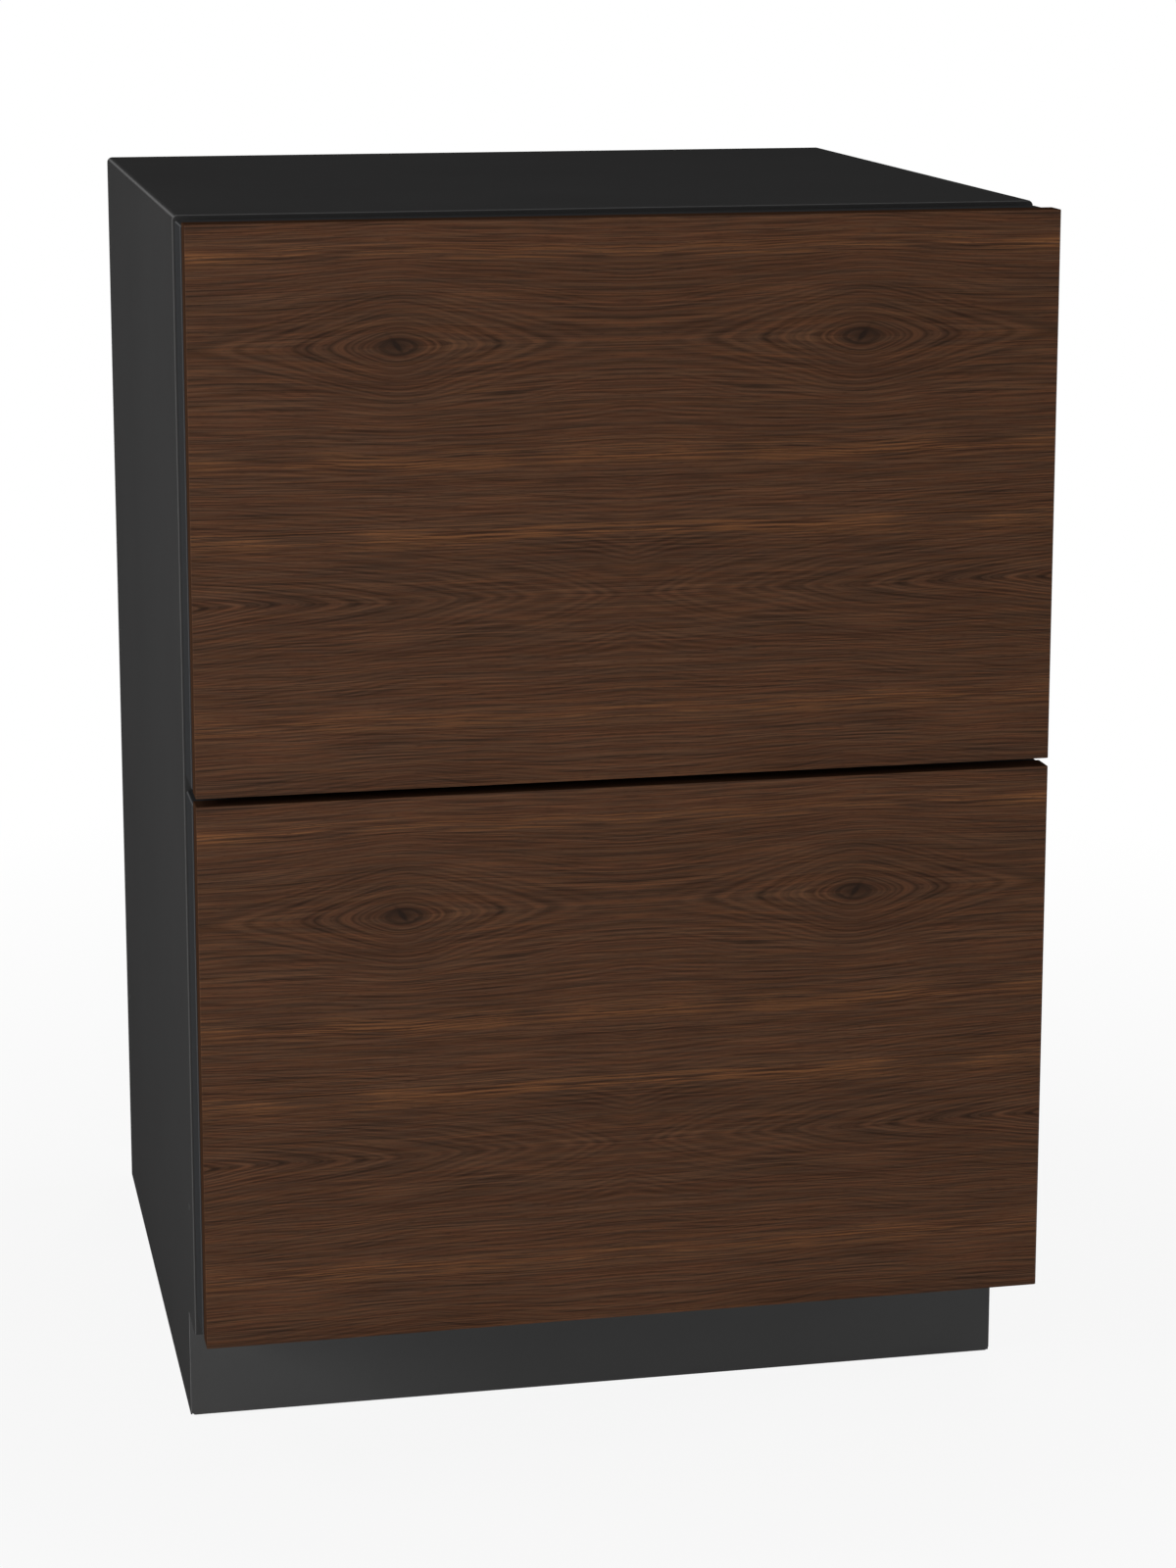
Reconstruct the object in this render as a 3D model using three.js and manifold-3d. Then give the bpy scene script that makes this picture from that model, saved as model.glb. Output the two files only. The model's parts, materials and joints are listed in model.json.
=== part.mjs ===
// Undercounter drawer refrigerator with two wood-fronted drawers.
// Millimetres, +Z up. The fronts face -Y and the origin is on the floor, under the middle of the appliance.
import * as THREE from 'three';
import { mergeVertices } from 'three/addons/utils/BufferGeometryUtils.js';
import Module from 'manifold-3d';

const wasm = await Module();
wasm.setup();

// ---------------------------------------------------------------- driving dimensions

// Cabinet
const cabinetWidth = 606;
const cabinetHeight = 876;
const cabinetDepth = 571;
const floorGap = 3; // the feet hold the cabinet's lower edge this far off the floor
const sheet = 1.2; // steel sheet of the cabinet
const bendRadius = 4; // outer radius of the bends in the sheet
const fit = 0.3; // gap left between pieces that rest on or beside each other
const toeKickHeight = 80;
const toeKickSetback = 45; // from the cabinet's front plane
const toeKickSheet = 1.5;
const toeKickCorner = 2.5; // chamfer on its two lower corners
const toeKickReturn = 26;

// Insulation and liner
const sideInsulation = 39.4;
const topInsulation = 41.4;
const rearInsulation = 44;
const floorInsulation = 40;
const linerWall = 2;
const machineDepth = 220; // machine compartment at the lower rear
const machineHeight = 237;
const machineInsulation = 38;
const mullionHeight = 48;
const mullionDepth = 46;
const mullionDrop = 2.25; // its middle below the middle of the gap between the panels
const mullionWall = 1.5;

// Fronts
const panelReveal = 2; // panel inside the cabinet's width on each side
const panelThickness = 19;
const panelSplit = 5.5; // gap between the two panels
const panelTopDrop = 1; // upper panel's top below the cabinet's top
const panelLift = 95.5; // lower panel's lower edge above the cabinet's lower edge
const doorDepth = 39.7;
const doorReveal = 1; // door body inside the cabinet's width on each side
const doorEndInset = 2; // door body inside its panel at the top and bottom
const doorSheet = 1;
const doorHem = 14;
const doorCorner = 2;
const doorLinerFlange = 3;
const doorLinerWall = 2;
const plugDepth = 20; // how far the door liner stands out behind the door
const plugClearance = 9;
const plugCorner = 14;
const gasketDepth = 7; // space between the closed door and the cabinet
const gasketWidth = 11;
const gasketInset = 2.5;
const gasketGroove = 1.5;

// Telescopic slides
const slideLength = 440;
const slideHeight = 45.8;
const slideThickness = 12.1;
const slideSheet = 1.2;
const slideFrontSetback = 13; // from the cabinet's front plane
const outerFlange = 9.2;
const outerLip = 1.3;
const middleOffset = 3.3; // its web from the liner wall's side of the slide
const middleFlange = 4;
const innerFlange = 5.9;
const upperSlideRise = 90; // upper slide's middle above the mullion
const lowerSlideRise = 40; // lower slide's lower edge above the hump in the liner

// Bins
const binWall = 2.5;
const binRim = 2.5;
const binRimOverhang = 5;
const binCorner = 16;
const binDepth = 420;
const upperBinHeight = 162;
const upperBinLift = 31; // its floor above the mullion
const lowerBinLift = 14; // its floor above the liner's floor
const lowerBinTopGap = 39; // its rim below the mullion
const lowerBinHumpGap = 16;
const frameSheet = 1.5;
const frameBelowSlide = 20;
const frameCrossbar = 40;
const frameFrontFlange = 24;
const dividerSheet = 3;
const dividerFloorGap = 3;
const dividerHook = 4;
const dividerHookWidth = 24;
const dividerHookLength = 31;
const upperDividerSetback = 205; // from the bin's front
const lowerDividerSetback = 140;

// Cooling parts behind the upper bin
const coverSetback = 62; // cover's front face from the liner's rear wall
const coverWall = 2;
const coverSideGap = 5.8;
const coverBelowEvaporator = 22;
const ventRadius = 56;
const ventSlots = 8;
const ventSlotHeight = 8;
const returnSlots = 14;
const returnSlotWidth = 18;
const returnSlotMargin = 40;
const returnSlotLift = 20;
const evaporatorSideGap = 52; // from the cover's side walls
const evaporatorHeight = 150;
const evaporatorDepth = 46;
const evaporatorFins = 20;
const finSheet = 2;
const finCore = 4;
const evaporatorFanDrop = 94; // its axis below the liner's ceiling
const evaporatorFanRadius = 50;
const evaporatorFanDepth = 14;
const evaporatorFanGap = 66; // between the fan's blades and the evaporator
const troughDepth = 8;

// Ceiling pieces
const controlWidth = 220;
const controlDepth = 40;
const controlDrop = 16;
const controlNose = 5.6;
const controlSlope = 32;
const controlSetback = 22; // from the cabinet's front plane
const lensWidth = 96;
const lensDepth = 30;
const lensDrop = 7;
const lensSetback = 86;
const lensCorner = 5;

// Machine compartment
const baseHeight = 12; // underside of the base above the floor
const baseSheet = 1.5;
const compressorRadius = 66;
const compressorHeight = 158;
const compressorSideGap = 173; // its axis from the cabinet's left side
const compressorFoot = 10;
const compressorDome = 26;
const compressorSeam = 3;
const compressorMountRadius = 9;
const compressorPlateReach = 14;
const compressorPlateSheet = 3;
const terminalWidth = 22;
const terminalLength = 54;
const terminalHeight = 62;
const terminalLift = 38;
const terminalCorner = 6;
const condenserSideGap = 98; // its middle from the cabinet's right side
const condenserThickness = 50;
const condenserDepth = 176;
const condenserHeight = 178;
const condenserFins = 18;
const condenserFanRadius = 70;
const condenserFanDepth = 16;
const fanBlades = 5;
const fanBladeSheet = 1.8;
const fanHubRadius = 15;
const fanStandoff = 1; // the hub's face off the motor's
const shroudSetback = 32; // the fan's plane off the condenser
const shroudWall = 2;
const shroudRunning = 3; // between the blades' tips and the ring
const shroudSeatDepth = 6;
const shroudSeatWall = 4;
const shroudArm = [4, 6];
const shroudRingDepth = 12; // the ring behind the fan's plane
const motorRadius = 22;
const motorLength = 34;
const motorEdge = 3;
const motorNose = 6;
const lineRadius = 4;
const suctionRadius = 5;
const lineTurn = 12;
const lineRise = 30; // the hot line above the compressor
const suctionRise = 20;
const suctionRun = 70;
const drierRadius = 10;
const drierLength = 74;
const drierNeck = 4;
const drierTaper = 9;
const drierGap = 18; // its axis behind the compartment's front wall
const drierSide = 60; // its axis left of the condenser's middle
const trayWidth = 92;
const trayHeight = 30;
const trayWall = 2;
const trayGap = 18; // from the compressor
const trayEndGap = 16;
const coverSlots = 9;
const coverSlotWidth = 200;
const coverSlotHeight = 6;
const coverSlotMargin = 24; // each side of the middle
const coverSlotsFrom = 60; // above the cover's lower edge
const coverSlotsTo = 16; // below its upper edge
const inletWidth = 34;
const inletHeight = 28;
const inletDepth = 26;
const inletWall = 3;
const inletSide = 68; // its middle from the cabinet's side
const inletLift = 60;
const bladeSection = [2, 6];
const bladeSetback = 6;
const controlBoxWidth = 150;
const controlBoxDepth = 96;
const controlBoxHeight = 44;
const controlBoxCorner = 5;
const controlBoxGap = 60; // behind the toe kick's returns

// Levelling feet
const footSideGap = 38; // their axes from the cabinet's sides
const footFrontSetback = 34; // behind the toe kick
const footRearSetback = 34; // ahead of the cabinet's rear edge
const footRadius = 19;
const footPad = 7.5;
const footEdge = 1.5;
const footShoulder = 4;
const stemRadius = 5;
const stemLength = 52;
const bossRadius = 9;
const bossHeight = 16;

// ---------------------------------------------------------------- derived places

const frontStandoff = panelThickness + fit + doorDepth + gasketDepth;
const overallDepth = cabinetDepth + frontStandoff;
const rearY = overallDepth / 2;
const faceY = rearY - cabinetDepth; // front plane of the cabinet
const frontY = -overallDepth / 2; // front plane of the wood
const bottomZ = floorGap;
const topZ = floorGap + cabinetHeight;
const halfWidth = cabinetWidth / 2;
const toeY = faceY + toeKickSetback;
const toeTopZ = bottomZ + toeKickHeight;

const cavityHalf = halfWidth - sheet - fit - sideInsulation - fit - linerWall;
const cavityTopZ = topZ - sheet - fit - topInsulation - fit - linerWall;
const deckZ = toeTopZ + fit;
const cavityFloorZ = deckZ + sheet + fit + floorInsulation + fit + linerWall;
const cavityRearY = rearY - 2 * sheet - fit - rearInsulation - fit - linerWall;
const machineFrontY = rearY - machineDepth;
const machineTopZ = bottomZ + machineHeight;
const humpFrontY = machineFrontY - sheet - fit - machineInsulation - fit - linerWall;
const humpTopZ = machineTopZ + sheet + fit + machineInsulation + fit + linerWall;
const backPanelY = rearY - sheet;

const panelWidth = cabinetWidth - 2 * panelReveal;
const panelHeight = (cabinetHeight - panelTopDrop - panelLift - panelSplit) / 2;
const upperPanelTopZ = topZ - panelTopDrop;
const upperPanelBottomZ = upperPanelTopZ - panelHeight;
const lowerPanelTopZ = upperPanelBottomZ - panelSplit;
const lowerPanelBottomZ = bottomZ + panelLift;
const mullionMiddleZ = lowerPanelTopZ + panelSplit / 2 - mullionDrop;
const mullionBottomZ = mullionMiddleZ - mullionHeight / 2;
const mullionTopZ = mullionMiddleZ + mullionHeight / 2;

const slideFrontY = faceY + slideFrontSetback;
const slideRearY = slideFrontY + slideLength;
const frameOuter = cavityHalf - fit - slideThickness - fit;
const frameInner = frameOuter - frameSheet;

const doorFrontY = frontY + panelThickness + fit;
const doorRearY = doorFrontY + doorDepth;
const plugRearY = doorRearY + plugDepth;
const binFrontY = plugRearY + fit + frameSheet + fit;
const binRearY = binFrontY + binDepth;
const binHalf = frameInner - fit;
const coverFrontY = cavityRearY - coverSetback;
const coverHalf = cavityHalf - coverSideGap;
const evaporatorFanZ = cavityTopZ - evaporatorFanDrop;
const evaporatorTopZ = evaporatorFanZ - evaporatorFanRadius - evaporatorFanGap;
const evaporatorBottomZ = evaporatorTopZ - evaporatorHeight;
const coverBottomZ = evaporatorBottomZ - coverBelowEvaporator;
const baseTopZ = baseHeight + baseSheet;
const compressorX = -halfWidth + compressorSideGap;
const condenserX = halfWidth - condenserSideGap;
const inletX = -halfWidth + inletSide;
const footX = halfWidth - footSideGap;

// What sets the two drawers apart
const upperDrawer = {
  name: 'upper',
  panelZ: [upperPanelBottomZ, upperPanelTopZ],
  openingZ: [mullionTopZ, cavityTopZ],
  slideZ: mullionTopZ + upperSlideRise,
  binFloorZ: mullionTopZ + upperBinLift,
  rimZ: mullionTopZ + upperBinLift + upperBinHeight,
  dividerY: binFrontY + upperDividerSetback,
};
const lowerDrawer = {
  name: 'lower',
  panelZ: [lowerPanelBottomZ, lowerPanelTopZ],
  openingZ: [cavityFloorZ, mullionBottomZ],
  slideZ: humpTopZ + lowerSlideRise + slideHeight / 2,
  binFloorZ: cavityFloorZ + lowerBinLift,
  rimZ: mullionBottomZ - lowerBinTopGap,
  dividerY: binFrontY + lowerDividerSetback,
};

// ---------------------------------------------------------------- finishes

const finishes = {
  cabinetSteel: { color: 0x3a3b3c, roughness: 0.5, metalness: 0.1 },
  doorSteel: { color: 0x343536, roughness: 0.45, metalness: 0.1 },
  galvanised: { color: 0x9a9d9f, roughness: 0.4, metalness: 0.8 },
  walnut: { color: 0x49301f, roughness: 0.5, metalness: 0 },
  foam: { color: 0xd9cf9c, roughness: 0.9, metalness: 0 },
  liner: { color: 0xe9eaea, roughness: 0.4, metalness: 0 },
  gasket: { color: 0x2a2b2c, roughness: 0.7, metalness: 0 },
  slideSteel: { color: 0xb6b9bb, roughness: 0.3, metalness: 0.9 },
  frameSteel: { color: 0xc9cbcc, roughness: 0.35, metalness: 0.6 },
  bin: { color: 0xe4e8ea, roughness: 0.2, metalness: 0 },
  aluminium: { color: 0xb9bcbe, roughness: 0.4, metalness: 0.9 },
  compressorBlack: { color: 0x161718, roughness: 0.4, metalness: 0.2 },
  copper: { color: 0xb4673c, roughness: 0.3, metalness: 0.9 },
  darkPlastic: { color: 0x1f2021, roughness: 0.55, metalness: 0 },
  lens: { color: 0xf2f4f6, roughness: 0.15, metalness: 0 },
};

// ---------------------------------------------------------------- shape helpers

/** A closed geometry as a solid, with its shared vertices merged and its faces turned outward. */
function solid(geometry) {
  const bare = geometry.clone();
  bare.deleteAttribute('normal');
  bare.deleteAttribute('uv');
  const merged = mergeVertices(bare, 1e-4);
  const corners = merged.index.array;
  const kept = [];
  for (let i = 0; i < corners.length; i += 3) {
    const [a, b, c] = [corners[i], corners[i + 1], corners[i + 2]];
    if (a !== b && b !== c && c !== a) {
      kept.push(a, b, c);
    }
  }
  const vertices = new Float32Array(merged.attributes.position.array);
  if (enclosedVolume(vertices, kept) < 0) {
    kept.reverse();
  }
  return new wasm.Manifold(
    new wasm.Mesh({ numProp: 3, vertProperties: vertices, triVerts: new Uint32Array(kept) }),
  );
}

/** The signed volume inside a triangle list, negative where its faces point inward. */
function enclosedVolume(vertices, corners) {
  const [a, b, c] = [new THREE.Vector3(), new THREE.Vector3(), new THREE.Vector3()];
  let sum = 0;
  for (let i = 0; i < corners.length; i += 3) {
    a.fromArray(vertices, corners[i] * 3);
    b.fromArray(vertices, corners[i + 1] * 3);
    c.fromArray(vertices, corners[i + 2] * 3);
    sum += a.dot(b.cross(c)) / 6;
  }
  return sum;
}

/** A solid as a geometry for a mesh. */
function skin(body) {
  const mesh = body.getMesh();
  const geometry = new THREE.BufferGeometry();
  geometry.setAttribute('position', new THREE.BufferAttribute(mesh.vertProperties, 3));
  geometry.setIndex(new THREE.BufferAttribute(mesh.triVerts, 1));
  geometry.computeVertexNormals();
  return geometry;
}

/** A box between two x, two y and two z values. */
function block([x0, x1], [y0, y1], [z0, z1]) {
  const box = new THREE.BoxGeometry(x1 - x0, y1 - y0, z1 - z0);
  return solid(box.translate((x0 + x1) / 2, (y0 + y1) / 2, (z0 + z1) / 2));
}

/** An outline from corner points. */
function outline(points) {
  return new THREE.Shape(points.map(([u, v]) => new THREE.Vector2(u, v)));
}

/** A rectangle with its corners rounded, listed as lower left, lower right, upper right, upper left. */
function roundedOutline([u0, u1], [v0, v1], radii) {
  const [ll, lr, ur, ul] = Array.isArray(radii) ? radii : [radii, radii, radii, radii];
  const shape = new THREE.Shape();
  shape.moveTo(u0 + ll, v0);
  shape.lineTo(u1 - lr, v0);
  if (lr > 0) shape.absarc(u1 - lr, v0 + lr, lr, -Math.PI / 2, 0);
  shape.lineTo(u1, v1 - ur);
  if (ur > 0) shape.absarc(u1 - ur, v1 - ur, ur, 0, Math.PI / 2);
  shape.lineTo(u0 + ul, v1);
  if (ul > 0) shape.absarc(u0 + ul, v1 - ul, ul, Math.PI / 2, Math.PI);
  shape.lineTo(u0, v0 + ll);
  if (ll > 0) shape.absarc(u0 + ll, v0 + ll, ll, Math.PI, Math.PI * 1.5);
  return shape;
}

const drawnAlong = {
  // A shape drawn in (y, z), (x, z) or (x, y) runs along the axis that is left.
  x: new THREE.Matrix4().makeBasis(
    new THREE.Vector3(0, 1, 0), new THREE.Vector3(0, 0, 1), new THREE.Vector3(1, 0, 0),
  ),
  y: new THREE.Matrix4().makeBasis(
    new THREE.Vector3(1, 0, 0), new THREE.Vector3(0, 0, 1), new THREE.Vector3(0, -1, 0),
  ),
  z: new THREE.Matrix4(),
};

/** An outline drawn out along an axis, from one value to another. */
function prism(shape, axis, [from, to], curveSegments = 3) {
  const drawn = new THREE.ExtrudeGeometry(shape, { depth: to - from, bevelEnabled: false, curveSegments });
  drawn.applyMatrix4(drawnAlong[axis]);
  const start = { x: [from, 0, 0], y: [0, to, 0], z: [0, 0, from] }[axis];
  return solid(drawn.translate(...start));
}

/** A turned solid about an axis through a point, from (radius, distance along the axis) points. */
function turned(profile, axis, [x, y, z], segments = 24) {
  const lathe = new THREE.LatheGeometry(profile.map(([r, h]) => new THREE.Vector2(r, h)), segments);
  const turn = { x: [0, 0, -Math.PI / 2], y: [0, 0, 0], z: [Math.PI / 2, 0, 0] }[axis];
  lathe.applyMatrix4(new THREE.Matrix4().makeRotationFromEuler(new THREE.Euler(...turn)));
  return solid(lathe.translate(x, y, z));
}

/** A plain round bar along an axis. */
function rod(radius, axis, centre, [from, to], segments = 24) {
  return turned([[0, from], [radius, from], [radius, to], [0, to]], axis, centre, segments);
}

/** A round tube that follows straight runs with rounded turns between them. */
function pipe(points, radius, turnRadius, sides = 8) {
  const path = new THREE.CurvePath();
  const corners = points.map((p) => new THREE.Vector3(...p));
  let last = corners[0];
  for (let i = 1; i < corners.length - 1; i += 1) {
    const toward = corners[i - 1].clone().sub(corners[i]).setLength(turnRadius);
    const onward = corners[i + 1].clone().sub(corners[i]).setLength(turnRadius);
    const turnStart = corners[i].clone().add(toward);
    const turnEnd = corners[i].clone().add(onward);
    path.add(new THREE.LineCurve3(last, turnStart));
    path.add(new THREE.QuadraticBezierCurve3(turnStart, corners[i], turnEnd));
    last = turnEnd;
  }
  path.add(new THREE.LineCurve3(last, corners[corners.length - 1]));
  const section = new THREE.Shape();
  section.absarc(0, 0, radius, 0, Math.PI * 2);
  const steps = Math.round(path.getLength() / (radius * 2.5));
  const run = { steps, extrudePath: path, curveSegments: sides, bevelEnabled: false };
  return solid(new THREE.ExtrudeGeometry(section, run));
}

/** Evenly spaced middles for a number of repeated pieces across a span. */
function spread(count, [from, to]) {
  return Array.from({ length: count }, (_, i) => from + ((i + 0.5) * (to - from)) / count);
}

const cutAll = (body, tools) => tools.reduce((left, tool) => left.subtract(tool), body);
const joinAll = (bodies) => bodies.reduce((whole, body) => whole.add(body));
const bothWays = (half) => [-half, half];

/** A named mesh for one sub-part. */
function piece(name, body, finish) {
  const mesh = new THREE.Mesh(skin(body), new THREE.MeshStandardMaterial(finish));
  mesh.name = name;
  return mesh;
}

function group(...members) {
  const made = new THREE.Group();
  made.add(...members.flat());
  return made;
}

// ---------------------------------------------------------------- cabinet

/** Outer steel shell: sides, top and the front frame that the gaskets close on. */
function cabinetWrapper() {
  const corner = [0, 0, bendRadius, bendRadius];
  const inner = bendRadius - sheet;
  const shell = prism(roundedOutline(bothWays(halfWidth), [bottomZ, topZ], corner), 'y', [faceY, rearY]);
  const hollow = prism(
    roundedOutline(bothWays(halfWidth - sheet), [bottomZ - 1, topZ - sheet], [0, 0, inner, inner]),
    'y',
    [faceY + sheet, rearY + 1],
  );
  const openingHalf = cavityHalf + linerWall + fit;
  const opening = block(
    bothWays(openingHalf),
    [faceY - 1, faceY + sheet + 1],
    [cavityFloorZ - linerWall - fit, cavityTopZ + linerWall + fit],
  );
  const toeRecess = block(
    bothWays(halfWidth + 1),
    [faceY - 1, toeY + toeKickSheet + fit],
    [bottomZ - 1, toeTopZ],
  );
  return cutAll(shell, [hollow, opening, toeRecess]);
}

/** Bent sheet that floors the insulated box and steps up over the machine compartment. */
function bottomDeck() {
  const front = faceY + sheet + fit;
  const rear = backPanelY - fit;
  const section = outline([
    [front, deckZ],
    [machineFrontY, deckZ],
    [machineFrontY, machineTopZ],
    [rear, machineTopZ],
    [rear, machineTopZ + sheet],
    [machineFrontY - sheet, machineTopZ + sheet],
    [machineFrontY - sheet, deckZ + sheet],
    [front, deckZ + sheet],
  ]);
  return prism(section, 'x', bothWays(halfWidth - sheet - fit));
}

/** The liner's side outline, grown outward by a margin. */
function linerOutline(grow, front) {
  return outline([
    [front, cavityFloorZ - grow],
    [humpFrontY + grow, cavityFloorZ - grow],
    [humpFrontY + grow, humpTopZ - grow],
    [cavityRearY + grow, humpTopZ - grow],
    [cavityRearY + grow, cavityTopZ + grow],
    [front, cavityTopZ + grow],
  ]);
}

/** Moulded inner box, open at the front, with a hump over the machine compartment. */
function innerLiner() {
  const shell = prism(linerOutline(linerWall, faceY), 'x', bothWays(cavityHalf + linerWall));
  return shell.subtract(prism(linerOutline(0, faceY - 1), 'x', bothWays(cavityHalf)));
}

/** Insulation between the steel shell and the liner. */
function cabinetFoam() {
  const front = faceY + sheet + fit;
  const rear = backPanelY - fit;
  const deckTop = deckZ + sheet + fit;
  const machineLine = machineFrontY - sheet - fit;
  const machineRoof = machineTopZ + sheet + fit;
  const top = topZ - sheet - fit;
  const section = outline([
    [front, deckTop],
    [machineLine, deckTop],
    [machineLine, machineRoof],
    [rear, machineRoof],
    [rear, top],
    [front, top],
  ]);
  const side = halfWidth - sheet - fit;
  const filling = prism(section, 'x', bothWays(side));
  const roundTop = prism(
    roundedOutline(bothWays(side), [bottomZ, top], [0, 0, bendRadius, bendRadius]),
    'y',
    [front - 1, rear + 1],
  );
  const grow = linerWall + fit;
  const linerSpace = prism(linerOutline(grow, front - 1), 'x', bothWays(cavityHalf + grow));
  return filling.intersect(roundTop).subtract(linerSpace);
}

/** Steel-faced bar across the opening, which both gaskets close on. */
function centreMullion() {
  const across = bothWays(cavityHalf - fit);
  const depth = [faceY, faceY + mullionDepth];
  const bar = block(across, depth, [mullionBottomZ, mullionTopZ]);
  const channel = block(
    bothWays(cavityHalf + 1),
    [faceY + mullionWall, faceY + mullionDepth + 1],
    [mullionBottomZ + mullionWall, mullionTopZ - mullionWall],
  );
  const web = block(
    across,
    [faceY + mullionDepth / 2, faceY + mullionDepth / 2 + mullionWall],
    [mullionBottomZ + mullionWall / 2, mullionTopZ - mullionWall / 2],
  );
  return bar.subtract(channel).add(web);
}

/** Plain plate in front of the feet, with its ends turned back inside the cabinet's sides. */
function toeKick() {
  const plate = prism(
    outline([
      [-halfWidth + toeKickCorner, bottomZ],
      [halfWidth - toeKickCorner, bottomZ],
      [halfWidth, bottomZ + toeKickCorner],
      [halfWidth, toeTopZ - fit],
      [-halfWidth, toeTopZ - fit],
      [-halfWidth, bottomZ + toeKickCorner],
    ]),
    'y',
    [toeY, toeY + toeKickSheet],
  );
  const returnOuter = halfWidth - sheet - fit;
  const returns = [-1, 1].map((side) =>
    block(
      [side * returnOuter, side * (returnOuter - toeKickSheet)].sort((a, b) => a - b),
      [toeY + toeKickSheet / 2, toeY + toeKickReturn],
      [baseTopZ + fit, toeTopZ - fit],
    ),
  );
  return joinAll([plate, ...returns]);
}

/** Rear sheet over the insulated part. */
function backPanel() {
  return block(bothWays(halfWidth - sheet - fit), [backPanelY, rearY], [machineTopZ, topZ - bendRadius]);
}

/** Louvred plate over the machine compartment, cut for the power inlet. */
function machineCover() {
  const span = [baseHeight, machineTopZ - fit];
  const plate = block(bothWays(halfWidth - sheet - fit), [backPanelY, rearY], span);
  const slots = [];
  const slotBand = [span[0] + coverSlotsFrom, span[1] - coverSlotsTo];
  const middleX = coverSlotMargin + coverSlotWidth / 2;
  for (const middle of bothWays(middleX)) {
    for (const z of spread(coverSlots, slotBand)) {
      slots.push(block(
        [middle - coverSlotWidth / 2, middle + coverSlotWidth / 2],
        [backPanelY - 1, rearY + 1],
        [z - coverSlotHeight / 2, z + coverSlotHeight / 2],
      ));
    }
  }
  const inletHole = block(
    [inletX - inletWidth / 2 - fit, inletX + inletWidth / 2 + fit],
    [backPanelY - 1, rearY + 1],
    [inletLift - inletHeight / 2 - fit, inletLift + inletHeight / 2 + fit],
  );
  return cutAll(plate, [...slots, inletHole]);
}

/** Recessed inlet for the power cord, with three contact blades joined to its floor. */
function powerInlet() {
  const body = (inset, span) =>
    block(
      [inletX - inletWidth / 2 + inset, inletX + inletWidth / 2 - inset],
      span,
      [inletLift - inletHeight / 2 + inset, inletLift + inletHeight / 2 - inset],
    );
  const shell = body(0, [rearY - inletDepth, rearY]);
  const recess = body(inletWall, [rearY - inletDepth + inletWall, rearY + 1]);
  const [thick, tall] = bladeSection;
  const pitch = (inletWidth - 2 * inletWall) / 4;
  const blades = [[-pitch, -tall / 3], [0, tall / 2], [pitch, -tall / 3]].map(([dx, dz]) =>
    block(
      [inletX + dx - thick / 2, inletX + dx + thick / 2],
      [rearY - inletDepth + inletWall / 2, rearY - bladeSetback],
      [inletLift + dz - tall / 2, inletLift + dz + tall / 2],
    ),
  );
  return joinAll([shell.subtract(recess), ...blades]);
}

/** Steel pan under the machinery, with a threaded boss for each foot. */
function baseFrame() {
  const side = halfWidth - sheet - fit;
  const plate = block(
    bothWays(side),
    [toeY + toeKickSheet + fit, backPanelY - fit],
    [baseHeight, baseTopZ],
  );
  const skirts = [-1, 1].map((way) =>
    block(
      [way * side, way * (side - baseSheet)].sort((a, b) => a - b),
      [toeY + toeKickSheet + fit, backPanelY - fit],
      [bottomZ + 1, baseHeight + baseSheet / 2],
    ),
  );
  const bosses = footPlaces().map(([x, y]) =>
    rod(bossRadius, 'z', [x, y, 0], [baseHeight + baseSheet / 2, baseTopZ + bossHeight], 16),
  );
  const holes = footPlaces().map(([x, y]) =>
    rod(stemRadius + fit, 'z', [x, y, 0], [baseHeight - 1, baseTopZ + bossHeight + 1], 16),
  );
  return cutAll(joinAll([plate, ...skirts, ...bosses]), holes);
}

function footPlaces() {
  const frontFootY = toeY + footFrontSetback;
  const rearFootY = rearY - footRearSetback;
  return [[-footX, frontFootY], [footX, frontFootY], [-footX, rearFootY], [footX, rearFootY]];
}

/** Levelling foot: a round pad on a threaded stem, about its own axis. */
function levellingFoot() {
  return turned(
    [
      [0, 0],
      [footRadius - footEdge, 0],
      [footRadius, footEdge],
      [footRadius, footPad - footEdge],
      [footRadius - footShoulder, footPad],
      [stemRadius, footPad],
      [stemRadius, footPad + stemLength],
      [0, footPad + stemLength],
    ],
    'z',
    [0, 0, 0],
    20,
  );
}

// ---------------------------------------------------------------- machinery

const condenserMiddleY = (machineFrontY + backPanelY) / 2;
const condenserMiddleZ = baseTopZ + fit + condenserHeight / 2;
const fanPlaneX = condenserX - condenserThickness / 2 - shroudSetback;

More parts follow.
